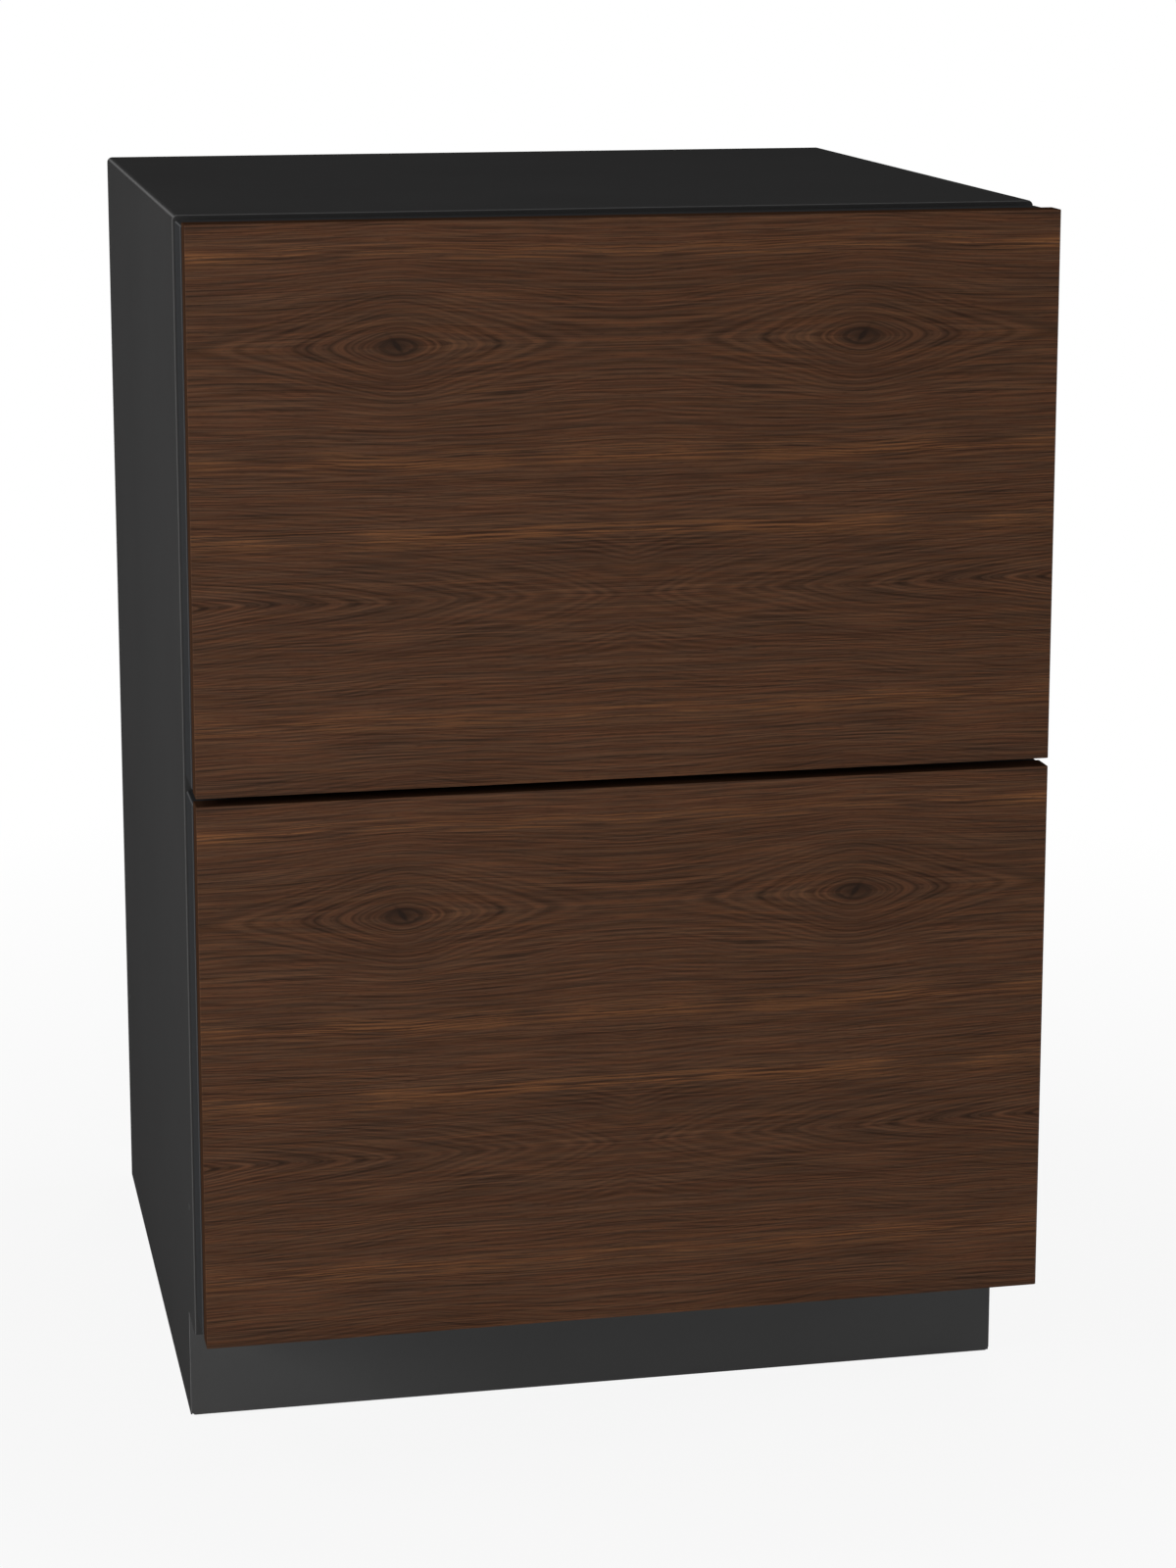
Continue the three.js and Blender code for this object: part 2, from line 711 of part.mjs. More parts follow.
/** Sealed compressor: a domed can on a foot plate with four rubber mounts. */
function compressor() {
  const y = condenserMiddleY;
  const seat = baseTopZ + fit;
  const plateZ = seat + compressorFoot;
  const topOfCan = plateZ + compressorHeight;
  const seamZ = plateZ + compressorHeight * 0.56;
  const r = compressorRadius;
  const can = turned(
    [
      [0, plateZ],
      [r * 0.82, plateZ],
      [r, plateZ + compressorDome * 0.5],
      [r, seamZ - compressorSeam * 2],
      [r + compressorSeam, seamZ - compressorSeam],
      [r + compressorSeam, seamZ + compressorSeam],
      [r, seamZ + compressorSeam * 2],
      [r, topOfCan - compressorDome],
      [r * 0.88, topOfCan - compressorDome * 0.42],
      [r * 0.6, topOfCan - compressorDome * 0.1],
      [0, topOfCan],
    ],
    'z',
    [compressorX, y, 0],
    28,
  );
  const reach = r + compressorPlateReach;
  const mountAt = reach - 2 * compressorMountRadius;
  const mountTop = plateZ + 2 * compressorPlateSheet;
  const mounts = [];
  for (const dx of bothWays(mountAt)) {
    for (const dy of bothWays(mountAt)) {
      mounts.push(rod(compressorMountRadius, 'z', [compressorX + dx, y + dy, 0], [seat, mountTop], 14));
    }
  }
  const plate = block(
    [compressorX - reach, compressorX + reach],
    [y - reach, y + reach],
    [plateZ, plateZ + compressorPlateSheet],
  );
  return joinAll([can, plate, ...mounts]);
}

/** Cover over the compressor's terminals and relay. */
function terminalBox() {
  const start = compressorX - compressorRadius - compressorSeam - fit;
  const low = baseTopZ + fit + compressorFoot + terminalLift;
  return prism(
    roundedOutline(
      [condenserMiddleY - terminalLength / 2, condenserMiddleY + terminalLength / 2],
      [low, low + terminalHeight],
      terminalCorner,
    ),
    'x',
    [start - terminalWidth, start],
  );
}

/** Block of fins on a core, cut by grooves from both broad faces. */
function finBlock([x0, x1], [y0, y1], [z0, z1], fins, along, through) {
  const span = { x: [x0, x1], z: [z0, z1], y: [y0, y1] };
  const grooves = [];
  const [from, to] = span[along];
  const pitch = (to - from - finSheet) / fins;
  const [near, far] = span[through];
  const middle = (near + far) / 2;
  for (let i = 0; i < fins; i += 1) {
    const start = from + finSheet + i * pitch;
    for (const depth of [[near - 1, middle - finCore / 2], [middle + finCore / 2, far + 1]]) {
      const cut = { x: [x0 - 1, x1 + 1], y: [y0 - 1, y1 + 1], z: [z0 - 1, z1 + 1] };
      cut[along] = [start, start + pitch - finSheet];
      cut[through] = depth;
      grooves.push(block(cut.x, cut.y, cut.z));
    }
  }
  return cutAll(block([x0, x1], [y0, y1], [z0, z1]), grooves);
}

/** Finned condenser beside the fan. */
function condenser() {
  return finBlock(
    [condenserX - condenserThickness / 2, condenserX + condenserThickness / 2],
    [condenserMiddleY - condenserDepth / 2, condenserMiddleY + condenserDepth / 2],
    [baseTopZ + fit, baseTopZ + fit + condenserHeight],
    condenserFins,
    'y',
    'x',
  );
}

/** Plate and ring that guide the air from the condenser through the fan, with the motor's seat. */
function fanShroud() {
  const plateX = condenserX - condenserThickness / 2 - fit;
  const centre = [0, condenserMiddleY, condenserMiddleZ];
  const inside = condenserFanRadius + shroudRunning;
  const ringX = fanPlaneX - shroudRingDepth;
  const plate = block(
    [plateX - shroudWall, plateX],
    [condenserMiddleY - condenserDepth / 2, condenserMiddleY + condenserDepth / 2],
    [baseTopZ + fit, baseTopZ + fit + condenserHeight],
  );
  const ring = rod(inside + shroudWall, 'x', centre, [ringX, plateX - shroudWall / 2], 32);
  const bore = rod(inside, 'x', centre, [ringX - 1, plateX + 1], 32);
  const seat = rod(motorRadius + shroudSeatWall, 'x', centre, [ringX, ringX + shroudSeatDepth], 20);
  const seatBore = rod(motorRadius + fit, 'x', centre, [ringX - 1, ringX + shroudSeatDepth + 1], 20);
  const armEnd = inside + shroudWall / 2;
  const [armDepth, armWidth] = shroudArm;
  const arms = [0, 1, 2].map((i) => {
    const bar = new THREE.BoxGeometry(armDepth, armWidth, armEnd - motorRadius);
    bar.translate(0, 0, (armEnd + motorRadius) / 2);
    bar.rotateX((i * Math.PI * 2) / 3);
    return solid(bar.translate(ringX + shroudSeatDepth / 2, condenserMiddleY, condenserMiddleZ));
  });
  const body = joinAll([plate.add(ring).subtract(bore), seat, ...arms]);
  return body.subtract(seatBore);
}

/** Small motor with a nose that carries a fan, drawn along its own Z axis. */
function fanMotor() {
  return turned(
    [
      [0, -motorLength],
      [motorRadius - motorEdge, -motorLength],
      [motorRadius, -motorLength + motorEdge],
      [motorRadius, 0],
      [motorNose, 0],
      [motorNose, motorNose],
      [0, motorNose],
    ],
    'z',
    [0, 0, 0],
    20,
  );
}

/** Fan with pitched blades on a cupped hub, drawn along its own Z axis, hub mouth down. */
function fanRotor(radius, depth) {
  const face = fanStandoff;
  const crown = face + depth;
  const edge = depth / 8;
  const hub = turned(
    [
      [0, face],
      [fanHubRadius, face],
      [fanHubRadius, crown - edge],
      [fanHubRadius - edge, crown],
      [0, crown],
    ],
    'z',
    [0, 0, 0],
    20,
  );
  const noseBore = rod(motorNose + fit, 'z', [0, 0, 0], [0, motorNose + fit], 20);
  const root = fanHubRadius * 0.7;
  const vanes = Array.from({ length: fanBlades }, (_, i) => {
    const vane = new THREE.BoxGeometry(radius - root, depth * 1.5, fanBladeSheet);
    vane.rotateX(Math.PI / 5);
    vane.translate((radius + root) / 2, 0, face + depth / 2);
    vane.rotateZ((i * Math.PI * 2) / fanBlades);
    return solid(vane);
  });
  const disc = rod(radius, 'z', [0, 0, 0], [face, crown], 32);
  return joinAll([hub, ...vanes]).intersect(disc).subtract(noseBore);
}

/** Drying cartridge in the liquid line. */
function filterDrier() {
  return turned(
    [
      [0, 0],
      [drierNeck, 0],
      [drierNeck, drierNeck],
      [drierRadius, drierNeck + drierTaper],
      [drierRadius, drierLength - drierNeck - drierTaper],
      [drierNeck, drierLength - drierNeck],
      [drierNeck, drierLength],
      [0, drierLength],
    ],
    'z',
    [condenserX - drierSide, machineFrontY + drierGap, machineTopZ - drierLength - fit],
    16,
  );
}

/** Hot gas line from the compressor to the condenser. */
function dischargeLine() {
  const top = baseTopZ + 2 * fit + compressorFoot + compressorHeight;
  const outletX = compressorX + compressorRadius / 4;
  const y = condenserMiddleY - compressorRadius / 4;
  return pipe(
    [
      [outletX, y, top],
      [outletX, y, top + lineRise],
      [condenserX, y, top + lineRise],
      [condenserX, y, baseTopZ + condenserHeight + 2 * fit],
    ],
    lineRadius,
    lineTurn,
  );
}

/** Return line from the evaporator, through the deck, to the compressor. */
function suctionLine() {
  const top = baseTopZ + 2 * fit + compressorFoot + compressorHeight;
  const inletLineX = compressorX - compressorRadius / 4;
  const y = condenserMiddleY + compressorRadius / 4;
  return pipe(
    [
      [inletLineX, y, top],
      [inletLineX, y, top + suctionRise],
      [inletLineX - suctionRun, y, top + suctionRise],
      [inletLineX - suctionRun, y, machineTopZ - fit],
    ],
    suctionRadius,
    lineTurn,
  );
}

/** Tray that catches the defrost water and lets it dry off beside the compressor. */
function drainTray() {
  const x0 = compressorX + compressorRadius + trayGap;
  const across = [x0, x0 + trayWidth];
  const along = [machineFrontY + trayEndGap, backPanelY - trayEndGap];
  const z0 = baseTopZ + fit;
  const outer = block(across, along, [z0, z0 + trayHeight]);
  const inner = block(
    [across[0] + trayWall, across[1] - trayWall],
    [along[0] + trayWall, along[1] - trayWall],
    [z0 + trayWall, z0 + trayHeight + 1],
  );
  return outer.subtract(inner);
}

/** Housing of the control electronics, on the base under the insulated floor. */
function controlBox() {
  const front = toeY + toeKickReturn + controlBoxGap;
  return prism(
    roundedOutline(bothWays(controlBoxWidth / 2), [front, front + controlBoxDepth], controlBoxCorner),
    'z',
    [baseTopZ + fit, baseTopZ + fit + controlBoxHeight],
  );
}

// ---------------------------------------------------------------- cold side

/** Finned evaporator on the liner's rear wall. */
function evaporator() {
  return finBlock(
    bothWays(coverHalf - coverWall - evaporatorSideGap),
    [cavityRearY - fit - evaporatorDepth, cavityRearY - fit],
    [evaporatorBottomZ, evaporatorTopZ],
    evaporatorFins,
    'x',
    'y',
  );
}

/** Air duct cover in front of the evaporator, with the fan's vents and the return slots. */
function evaporatorCover() {
  const zone = [coverBottomZ, cavityTopZ - fit];
  const through = [coverFrontY - 1, coverFrontY + coverWall + 1];
  const shell = block(bothWays(coverHalf), [coverFrontY, cavityRearY - fit], zone);
  const hollow = block(
    bothWays(coverHalf - coverWall),
    [coverFrontY + coverWall, cavityRearY + 1],
    [zone[0] + troughDepth, zone[1] - coverWall],
  );
  const vents = spread(ventSlots, bothWays(ventRadius)).map((dz) => {
    const middle = evaporatorFanZ + dz;
    return block(
      bothWays(Math.sqrt(ventRadius ** 2 - dz ** 2)),
      through,
      [middle - ventSlotHeight / 2, middle + ventSlotHeight / 2],
    );
  });
  const returnZ = zone[0] + returnSlotLift;
  const returns = spread(returnSlots, bothWays(coverHalf - returnSlotMargin)).map((x) =>
    block([x - returnSlotWidth / 2, x + returnSlotWidth / 2], through, [returnZ, returnZ + ventSlotHeight]),
  );
  return cutAll(shell, [hollow, ...vents, ...returns]);
}

/** Light cover in the ceiling. */
function lightLens() {
  const front = faceY + lensSetback;
  return prism(
    roundedOutline(
      [front, front + lensDepth],
      [cavityTopZ - fit - lensDrop, cavityTopZ - fit],
      [lensCorner, lensCorner, 0, 0],
    ),
    'x',
    bothWays(lensWidth / 2),
  );
}

/** Touch control strip under the ceiling, facing forward and down. */
function controlPanel() {
  const front = faceY + controlSetback;
  const top = cavityTopZ - fit;
  const section = outline([
    [front, top],
    [front, top - controlNose],
    [front + controlSlope, top - controlDrop],
    [front + controlDepth, top - controlDrop],
    [front + controlDepth, top],
  ]);
  return prism(section, 'x', bothWays(controlWidth / 2));
}

// ---------------------------------------------------------------- telescopic slides

/** C-shaped section in (x, z), with x counted from the liner wall inward. */
function channelOutline(webAt, flangeTo, halfHeight, lip) {
  const edge = Math.sign(flangeTo - webAt) * slideSheet;
  const inside = halfHeight - slideSheet;
  const half = [
    [webAt, halfHeight],
    [flangeTo, halfHeight],
    [flangeTo, inside - lip],
    ...(lip > 0 ? [[flangeTo - edge, inside - lip], [flangeTo - edge, inside]] : []),
    [webAt + edge, inside],
  ];
  return [...half, ...half.map(([u, v]) => [u, -v]).reverse()];
}

const outerHalf = slideHeight / 2;
const middleHalf = outerHalf - slideSheet - fit;
const innerHalf = middleHalf - slideSheet - fit;
const slideSections = {
  outer: channelOutline(0, outerFlange, outerHalf, outerLip),
  middle: channelOutline(middleOffset, middleOffset + middleFlange, middleHalf, 0),
  inner: channelOutline(slideThickness, slideThickness - innerFlange, innerHalf, 0),
};

/** One slide member on the left (-1) or right (+1) wall, about the slide's own height. */
function slideMember(kind, side) {
  const wall = cavityHalf - fit;
  const section = slideSections[kind].map(([u, v]) => [side * (wall - u), v]);
  return prism(outline(side > 0 ? section.reverse() : section), 'y', [slideFrontY, slideRearY]);
}

/** The left and right members of one kind for one drawer. */
function slidePair(drawer, kind) {
  return [[-1, 'left'], [1, 'right']].map(([side, hand]) => {
    const made = piece(`${drawer.name}_slide_${kind}_${hand}`, slideMember(kind, side), finishes.slideSteel);
    made.position.z = drawer.slideZ;
    return made;
  });
}

// ---------------------------------------------------------------- drawers

/** Veneered front panel. */
function woodPanel(drawer) {
  return block(bothWays(panelWidth / 2), [frontY, frontY + panelThickness], drawer.panelZ);
}

const doorHalf = halfWidth - doorReveal;
const flangeRearY = doorRearY - doorSheet - fit; // the door liner's flange lies inside the pan's hem
const flangeFrontY = flangeRearY - doorLinerFlange;

/** Lower and upper edge of a drawer's door body. */
function doorSpan(drawer) {
  const [low, high] = drawer.panelZ;
  return [low + doorEndInset, high - doorEndInset];
}

/** Shallow steel pan behind the wood, with its rear edge hemmed inward. */
function doorPan(drawer) {
  const [low, high] = doorSpan(drawer);
  const layer = (inset, radius, span) =>
    prism(roundedOutline(bothWays(doorHalf - inset), [low + inset, high - inset], radius), 'y', span);
  const outer = layer(0, doorCorner, [doorFrontY, doorRearY]);
  const hollow = layer(doorSheet, doorCorner - doorSheet, [doorFrontY + doorSheet, doorRearY - doorSheet]);
  const mouth = layer(doorHem, doorCorner, [doorRearY - 2 * doorSheet, doorRearY + 1]);
  return cutAll(outer, [hollow, mouth]);
}

/** Width and height of the door liner's plug, less a margin. */
function plugSpan(drawer, inset) {
  const [low, high] = drawer.openingZ;
  return {
    across: bothWays(cavityHalf - plugClearance - inset),
    upright: [low + plugClearance + inset, high - plugClearance - inset],
  };
}

/** Moulded inner face of the door: a flange behind the pan and a plug that enters the opening. */
function doorLiner(drawer) {
  const [low, high] = doorSpan(drawer);
  const inset = doorSheet + fit;
  const outer = plugSpan(drawer, 0);
  const inner = plugSpan(drawer, doorLinerWall);
  const flange = block(bothWays(doorHalf - inset), [flangeFrontY, flangeRearY], [low + inset, high - inset]);
  const plug = prism(
    roundedOutline(outer.across, outer.upright, plugCorner),
    'y',
    [flangeFrontY, plugRearY],
  );
  const hollow = prism(
    roundedOutline(inner.across, inner.upright, plugCorner - doorLinerWall),
    'y',
    [flangeFrontY - 1, plugRearY - doorLinerWall],
  );
  return flange.add(plug).subtract(hollow);
}

/** Insulation inside the pan and the plug. */
function doorFoam(drawer) {
  const [low, high] = doorSpan(drawer);
  const inset = doorSheet + fit;
  const slab = block(
    bothWays(doorHalf - inset),
    [doorFrontY + inset, flangeFrontY - fit],
    [low + inset, high - inset],
  );
  const core = plugSpan(drawer, doorLinerWall + fit);
  const plug = prism(
    roundedOutline(core.across, core.upright, plugCorner - doorLinerWall),
    'y',
    [flangeFrontY - 1, plugRearY - doorLinerWall - fit],
  );
  return slab.add(plug);
}

/** Magnetic seal round the door, with a fold line along its outer side. */
function doorGasket(drawer) {
  const [low, high] = doorSpan(drawer);
  const start = doorRearY + fit;
  const end = faceY - fit;
  const ring = (inset, span) => {
    const outer = block(bothWays(doorHalf - inset), span, [low + inset, high - inset]);
    const hole = gasketInset + gasketWidth;
    return outer.subtract(
      block(bothWays(doorHalf - hole), [span[0] - 1, span[1] + 1], [low + hole, high - hole]),
    );
  };
  const third = (end - start) / 3;
  return joinAll([
    ring(gasketInset, [start, start + third]),
    ring(gasketInset + gasketGroove, [start, end]),
    ring(gasketInset, [end - third, end]),
  ]);
}

/** Side outline of a bin in (y, z); the lower one steps up over the hump. */
function binOutline(drawer, inset, top) {
  const front = binFrontY + inset;
  const rear = binRearY - inset;
  const floor = drawer.binFloorZ + inset;
  const shelf = humpTopZ + lowerBinHumpGap + inset;
  const step = humpFrontY - lowerBinHumpGap - inset;
  const r = binCorner - inset;
  const shape = new THREE.Shape();
  shape.moveTo(front, top);
  shape.lineTo(front, floor + r);
  shape.absarc(front + r, floor + r, r, Math.PI, Math.PI * 1.5);
  if (floor < shelf) {
    shape.lineTo(step - r, floor);
    shape.absarc(step - r, floor + r, r, -Math.PI / 2, 0);
    shape.lineTo(step, shelf);
  }
  const rearFloor = Math.max(floor, shelf);
  shape.lineTo(rear - r, rearFloor);
  shape.absarc(rear - r, rearFloor + r, r, -Math.PI / 2, 0);
  shape.lineTo(rear, top);
  return shape;
}

/** Bin with rounded corners and a rim that hangs on its frame. */
function bin(drawer) {
  const rimTop = drawer.rimZ;
  const body = prism(binOutline(drawer, 0, rimTop), 'x', bothWays(binHalf));
  const rim = block(
    bothWays(frameOuter + binRimOverhang),
    [binFrontY, binRearY],
    [rimTop - binRim, rimTop],
  );
  const hollow = prism(binOutline(drawer, binWall, rimTop + 1), 'x', bothWays(binHalf - binWall));
  return body.add(rim).subtract(hollow);
}

/** Steel frame that ties the door to the slides and carries the bin by its rim. */
function binFrame(drawer) {
  const top = drawer.rimZ - binRim - fit;
  const low = drawer.slideZ - slideHeight / 2 - frameBelowSlide;
  const frontY0 = plugRearY + fit;
  const rearY1 = binRearY + fit + frameSheet;
  const members = [];
  for (const side of [-1, 1]) {
    members.push(block(
      [side * frameOuter, side * frameInner].sort((a, b) => a - b),
      [frontY0, rearY1],
      [low, top],
    ));
    members.push(block(
      [side * frameOuter, side * (frameOuter - frameFrontFlange)].sort((a, b) => a - b),
      [frontY0, frontY0 + frameSheet],
      [low, top],
    ));
  }
  members.push(block(bothWays(frameOuter), [rearY1 - frameSheet, rearY1], [top - frameCrossbar, top]));
  return joinAll(members);
}

/** Sliding divider that hooks over the bin's two side rims. */
function binDivider(drawer) {
  const half = binHalf - binWall - fit;
  const y = [drawer.dividerY, drawer.dividerY + dividerSheet];
  const floor = drawer.binFloorZ + binWall + dividerFloorGap;
  const hookZ = [drawer.rimZ + fit, drawer.rimZ + fit + dividerHook];
  const corners = [binCorner, binCorner, 0, 0];
  const plate = prism(roundedOutline(bothWays(half), [floor, hookZ[1]], corners), 'y', y);
  const hookReach = (dividerHookLength - dividerSheet) / 2;
  const hooks = bothWays(half).map((x) =>
    block(
      [x - dividerHookWidth / 2, x + dividerHookWidth / 2],
      [y[0] - hookReach, y[1] + hookReach],
      hookZ,
    ),
  );
  return joinAll([plate, ...hooks]);
}

/** Everything that travels with one drawer, and what rides on its bin. */
function drawerGroup(drawer) {
  const named = (part) => `${drawer.name}_${part}`;
  return group(
    piece(named('wood_panel'), woodPanel(drawer), finishes.walnut),
    piece(named('door_pan'), doorPan(drawer), finishes.doorSteel),
    piece(named('door_foam'), doorFoam(drawer), finishes.foam),
    piece(named('door_liner'), doorLiner(drawer), finishes.liner),
    piece(named('door_gasket'), doorGasket(drawer), finishes.gasket),
    piece(named('bin_frame'), binFrame(drawer), finishes.frameSteel),
    piece(named('bin'), bin(drawer), finishes.bin),
    piece(named('bin_divider'), binDivider(drawer), finishes.bin),
    slidePair(drawer, 'inner'),
  );
}

// ---------------------------------------------------------------- assembly

function cabinetGroup() {
  return group(
    piece('cabinet_wrapper', cabinetWrapper(), finishes.cabinetSteel),
    piece('cabinet_foam', cabinetFoam(), finishes.foam),
    piece('inner_liner', innerLiner(), finishes.liner),
    piece('centre_mullion', centreMullion(), finishes.doorSteel),
    piece('bottom_deck', bottomDeck(), finishes.galvanised),
    piece('toe_kick', toeKick(), finishes.cabinetSteel),
    piece('back_panel', backPanel(), finishes.galvanised),
    piece('machine_cover', machineCover(), finishes.galvanised),
    piece('power_inlet', powerInlet(), finishes.darkPlastic),
    piece('base_frame', baseFrame(), finishes.galvanised),
    slidePair(upperDrawer, 'outer'),
    slidePair(lowerDrawer, 'outer'),
  );
}

function machineryGroup() {
  const motor = piece('condenser_fan_motor', fanMotor(), finishes.darkPlastic);
  const blades = fanRotor(condenserFanRadius, condenserFanDepth);
  const rotor = piece('condenser_fan', blades, finishes.darkPlastic);
  for (const part of [motor, rotor]) {
    part.position.set(fanPlaneX, condenserMiddleY, condenserMiddleZ);
    part.rotation.y = Math.PI / 2;
  }
  return group(
    piece('compressor', compressor(), finishes.compressorBlack),
    piece('terminal_box', terminalBox(), finishes.darkPlastic),
    piece('condenser', condenser(), finishes.aluminium),
    piece('fan_shroud', fanShroud(), finishes.darkPlastic),
    motor,
    rotor,
    piece('filter_drier', filterDrier(), finishes.copper),
    piece('discharge_line', dischargeLine(), finishes.copper),
    piece('suction_line', suctionLine(), finishes.copper),
    piece('drain_tray', drainTray(), finishes.darkPlastic),
    piece('control_box', controlBox(), finishes.darkPlastic),
  );
}

function coldSideGroup() {
  const motor = piece('evaporator_fan_motor', fanMotor(), finishes.darkPlastic);
  const blades = fanRotor(evaporatorFanRadius, evaporatorFanDepth);
  const rotor = piece('evaporator_fan', blades, finishes.liner);
  for (const part of [motor, rotor]) {
    part.position.set(0, cavityRearY - fit - motorLength, evaporatorFanZ);
    part.rotation.x = Math.PI / 2;
  }
  return group(
    piece('evaporator', evaporator(), finishes.aluminium),
    piece('evaporator_cover', evaporatorCover(), finishes.liner),
    motor,
    rotor,
    piece('light_lens', lightLens(), finishes.lens),
    piece('control_panel', controlPanel(), finishes.darkPlastic),
  );
}

function feetGroup() {
  const names = ['front_left', 'front_right', 'rear_left', 'rear_right'];
  return group(footPlaces().map(([x, y], i) => {
    const foot = piece(`foot_${names[i]}`, levellingFoot(), finishes.darkPlastic);
    foot.position.set(x, y, 0);
    return foot;
  }));
}

const refrigerator = group(
  cabinetGroup(),
  machineryGroup(),
  coldSideGroup(),
  feetGroup(),
  slidePair(upperDrawer, 'middle'),
  slidePair(lowerDrawer, 'middle'),
  drawerGroup(upperDrawer),
  drawerGroup(lowerDrawer),
);

export default refrigerator;
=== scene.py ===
"""Looks of an undercounter drawer refrigerator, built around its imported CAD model.

Metres, +Z up, the drawer fronts face -Y and the origin is on the floor.
"""

import json
import logging
import math
from dataclasses import dataclass
from enum import Enum
from functools import cached_property
from typing import Iterable, Sequence

import bmesh
import bpy
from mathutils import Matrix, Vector


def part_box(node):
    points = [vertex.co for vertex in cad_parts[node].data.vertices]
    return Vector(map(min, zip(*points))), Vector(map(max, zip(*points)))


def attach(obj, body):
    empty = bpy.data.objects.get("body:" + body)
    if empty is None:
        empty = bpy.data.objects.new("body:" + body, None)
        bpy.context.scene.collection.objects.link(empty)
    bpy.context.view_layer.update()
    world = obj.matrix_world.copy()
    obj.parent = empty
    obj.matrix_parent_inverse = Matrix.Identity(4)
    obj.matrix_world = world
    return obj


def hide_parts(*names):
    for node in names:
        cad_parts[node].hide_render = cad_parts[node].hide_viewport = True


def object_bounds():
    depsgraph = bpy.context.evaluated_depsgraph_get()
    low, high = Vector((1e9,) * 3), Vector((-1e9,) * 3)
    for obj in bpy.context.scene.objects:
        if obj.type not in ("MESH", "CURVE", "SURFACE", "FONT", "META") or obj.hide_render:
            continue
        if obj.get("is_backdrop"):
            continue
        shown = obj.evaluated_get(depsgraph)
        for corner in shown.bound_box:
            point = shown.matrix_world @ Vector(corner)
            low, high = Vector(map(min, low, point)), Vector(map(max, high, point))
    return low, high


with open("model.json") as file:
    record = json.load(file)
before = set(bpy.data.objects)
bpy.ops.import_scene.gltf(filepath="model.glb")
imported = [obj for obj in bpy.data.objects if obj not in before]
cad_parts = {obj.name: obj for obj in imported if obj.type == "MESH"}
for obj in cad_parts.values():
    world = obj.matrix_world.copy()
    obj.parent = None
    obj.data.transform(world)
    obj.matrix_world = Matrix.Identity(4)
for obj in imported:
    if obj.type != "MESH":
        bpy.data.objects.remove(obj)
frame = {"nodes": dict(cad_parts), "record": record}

MM = 0.001
WHITE = (1.0, 1.0, 1.0)
CAD_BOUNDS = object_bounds()
LOG = logging.getLogger("refrigerator")

Point2 = tuple[float, float]
Point3 = tuple[float, float, float]
Colour = tuple[float, float, float]
Mesh = bmesh.types.BMesh
Object = bpy.types.Object
Material = bpy.types.Material
Socket = bpy.types.NodeSocket


class Slot(Enum):
    """The record's material slots that this scene uses."""

    CABINET = "cabinet_steel"
    DOOR = "door_steel"
    GALVANISED = "galvanised"
    WALNUT = "walnut"
    FOAM = "foam"
    LINER = "liner"
    GASKET = "gasket"
    SLIDE = "slide_steel"
    FRAME = "frame_steel"
    BIN = "bin"
    FINS = "fin_aluminium"
    ENAMEL = "compressor_black"
    COPPER = "copper"
    PLASTIC = "dark_plastic"
    LENS = "lens"


class Axis(Enum):
    """The axis that a turned or drawn piece follows."""

    X = "x"
    Y = "y"
    Z = "z"

    def place(self, across: float, upright: float, along: float) -> Vector:
        """Turn a point of a section into a place in the scene.

        Args:
            across: the point's first place in the section.
            upright: its second place in the section.
            along: how far along this axis the section lies.

        Returns:
            The place.
        """
        if self is Axis.X:
            return Vector((along, across, upright))
        if self is Axis.Y:
            return Vector((across, along, upright))
        return Vector((across, upright, along))


# ---- sizes taken from the frame


@dataclass(frozen=True)
class Span:
    """Lowest and highest corner of a CAD node, in metres."""

    low: Vector
    high: Vector

    @classmethod
    def of(cls, node: str) -> "Span":
        """Return the span of one CAD node."""
        low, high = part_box(node)
        return cls(low, high)

    @property
    def middle(self) -> Vector:
        """Return the middle of the box."""
        return (self.low + self.high) / 2

    @property
    def size(self) -> Vector:
        """Return the box's three edge lengths."""
        return self.high - self.low

    @property
    def face(self) -> tuple[Point2, Point2]:
        """Return the lower left and upper right corner, seen from the front."""
        return (self.low.x, self.low.z), (self.high.x, self.high.z)

    def side_face(self, side: int) -> float:
        """Return the place of the right-hand face for side 1, or of the left-hand one for -1."""
        return self.high.x if side > 0 else self.low.x


# ---- mesh helpers


def circle(count: int) -> list[float]:
    """Return equally spaced angles round a full turn."""
    return [2 * math.pi * step / count for step in range(count)]


def quarter(steps: int) -> list[float]:
    """Return equally spaced angles from 0 to a right angle."""
    return [math.pi / 2 * step / steps for step in range(steps + 1)]


def spaced(start: float, end: float, count: int) -> list[float]:
    """Return equally spaced values from start to end."""
    return [start + (end - start) * i / (count - 1) for i in range(count)]


def metres(points: Iterable[Point2]) -> list[Point2]:
    """Return points that are written in millimetres, in metres."""
    return [(u * MM, v * MM) for u, v in points]


def rounded_loop(low: Point2, high: Point2, radius: float, segments: int = 6,
                 across: float = 0.0, up: float = 0.0) -> list[Point2]:
    """Find the points of a rectangle with rounded corners, or of one that lies inside it.

    Args:
        low: the lower left corner.
        high: the upper right corner.
        radius: the corner radius.
        segments: how many steps each corner has.
        across: how far inside at the left and right.
        up: how far inside at the bottom and top.

    Returns:
        The points, anticlockwise from the lower left corner.
    """
    left, right = low[0] + across, high[0] - across
    bottom, top = low[1] + up, high[1] - up
    centres = (
        (left + radius, bottom + radius, math.pi), (right - radius, bottom + radius, math.pi * 1.5),
        (right - radius, top - radius, 0.0), (left + radius, top - radius, math.pi / 2),
    )
    return [
        (u + radius * math.cos(start + turn), v + radius * math.sin(start + turn))
        for u, v, start in centres
        for turn in quarter(segments)
    ]


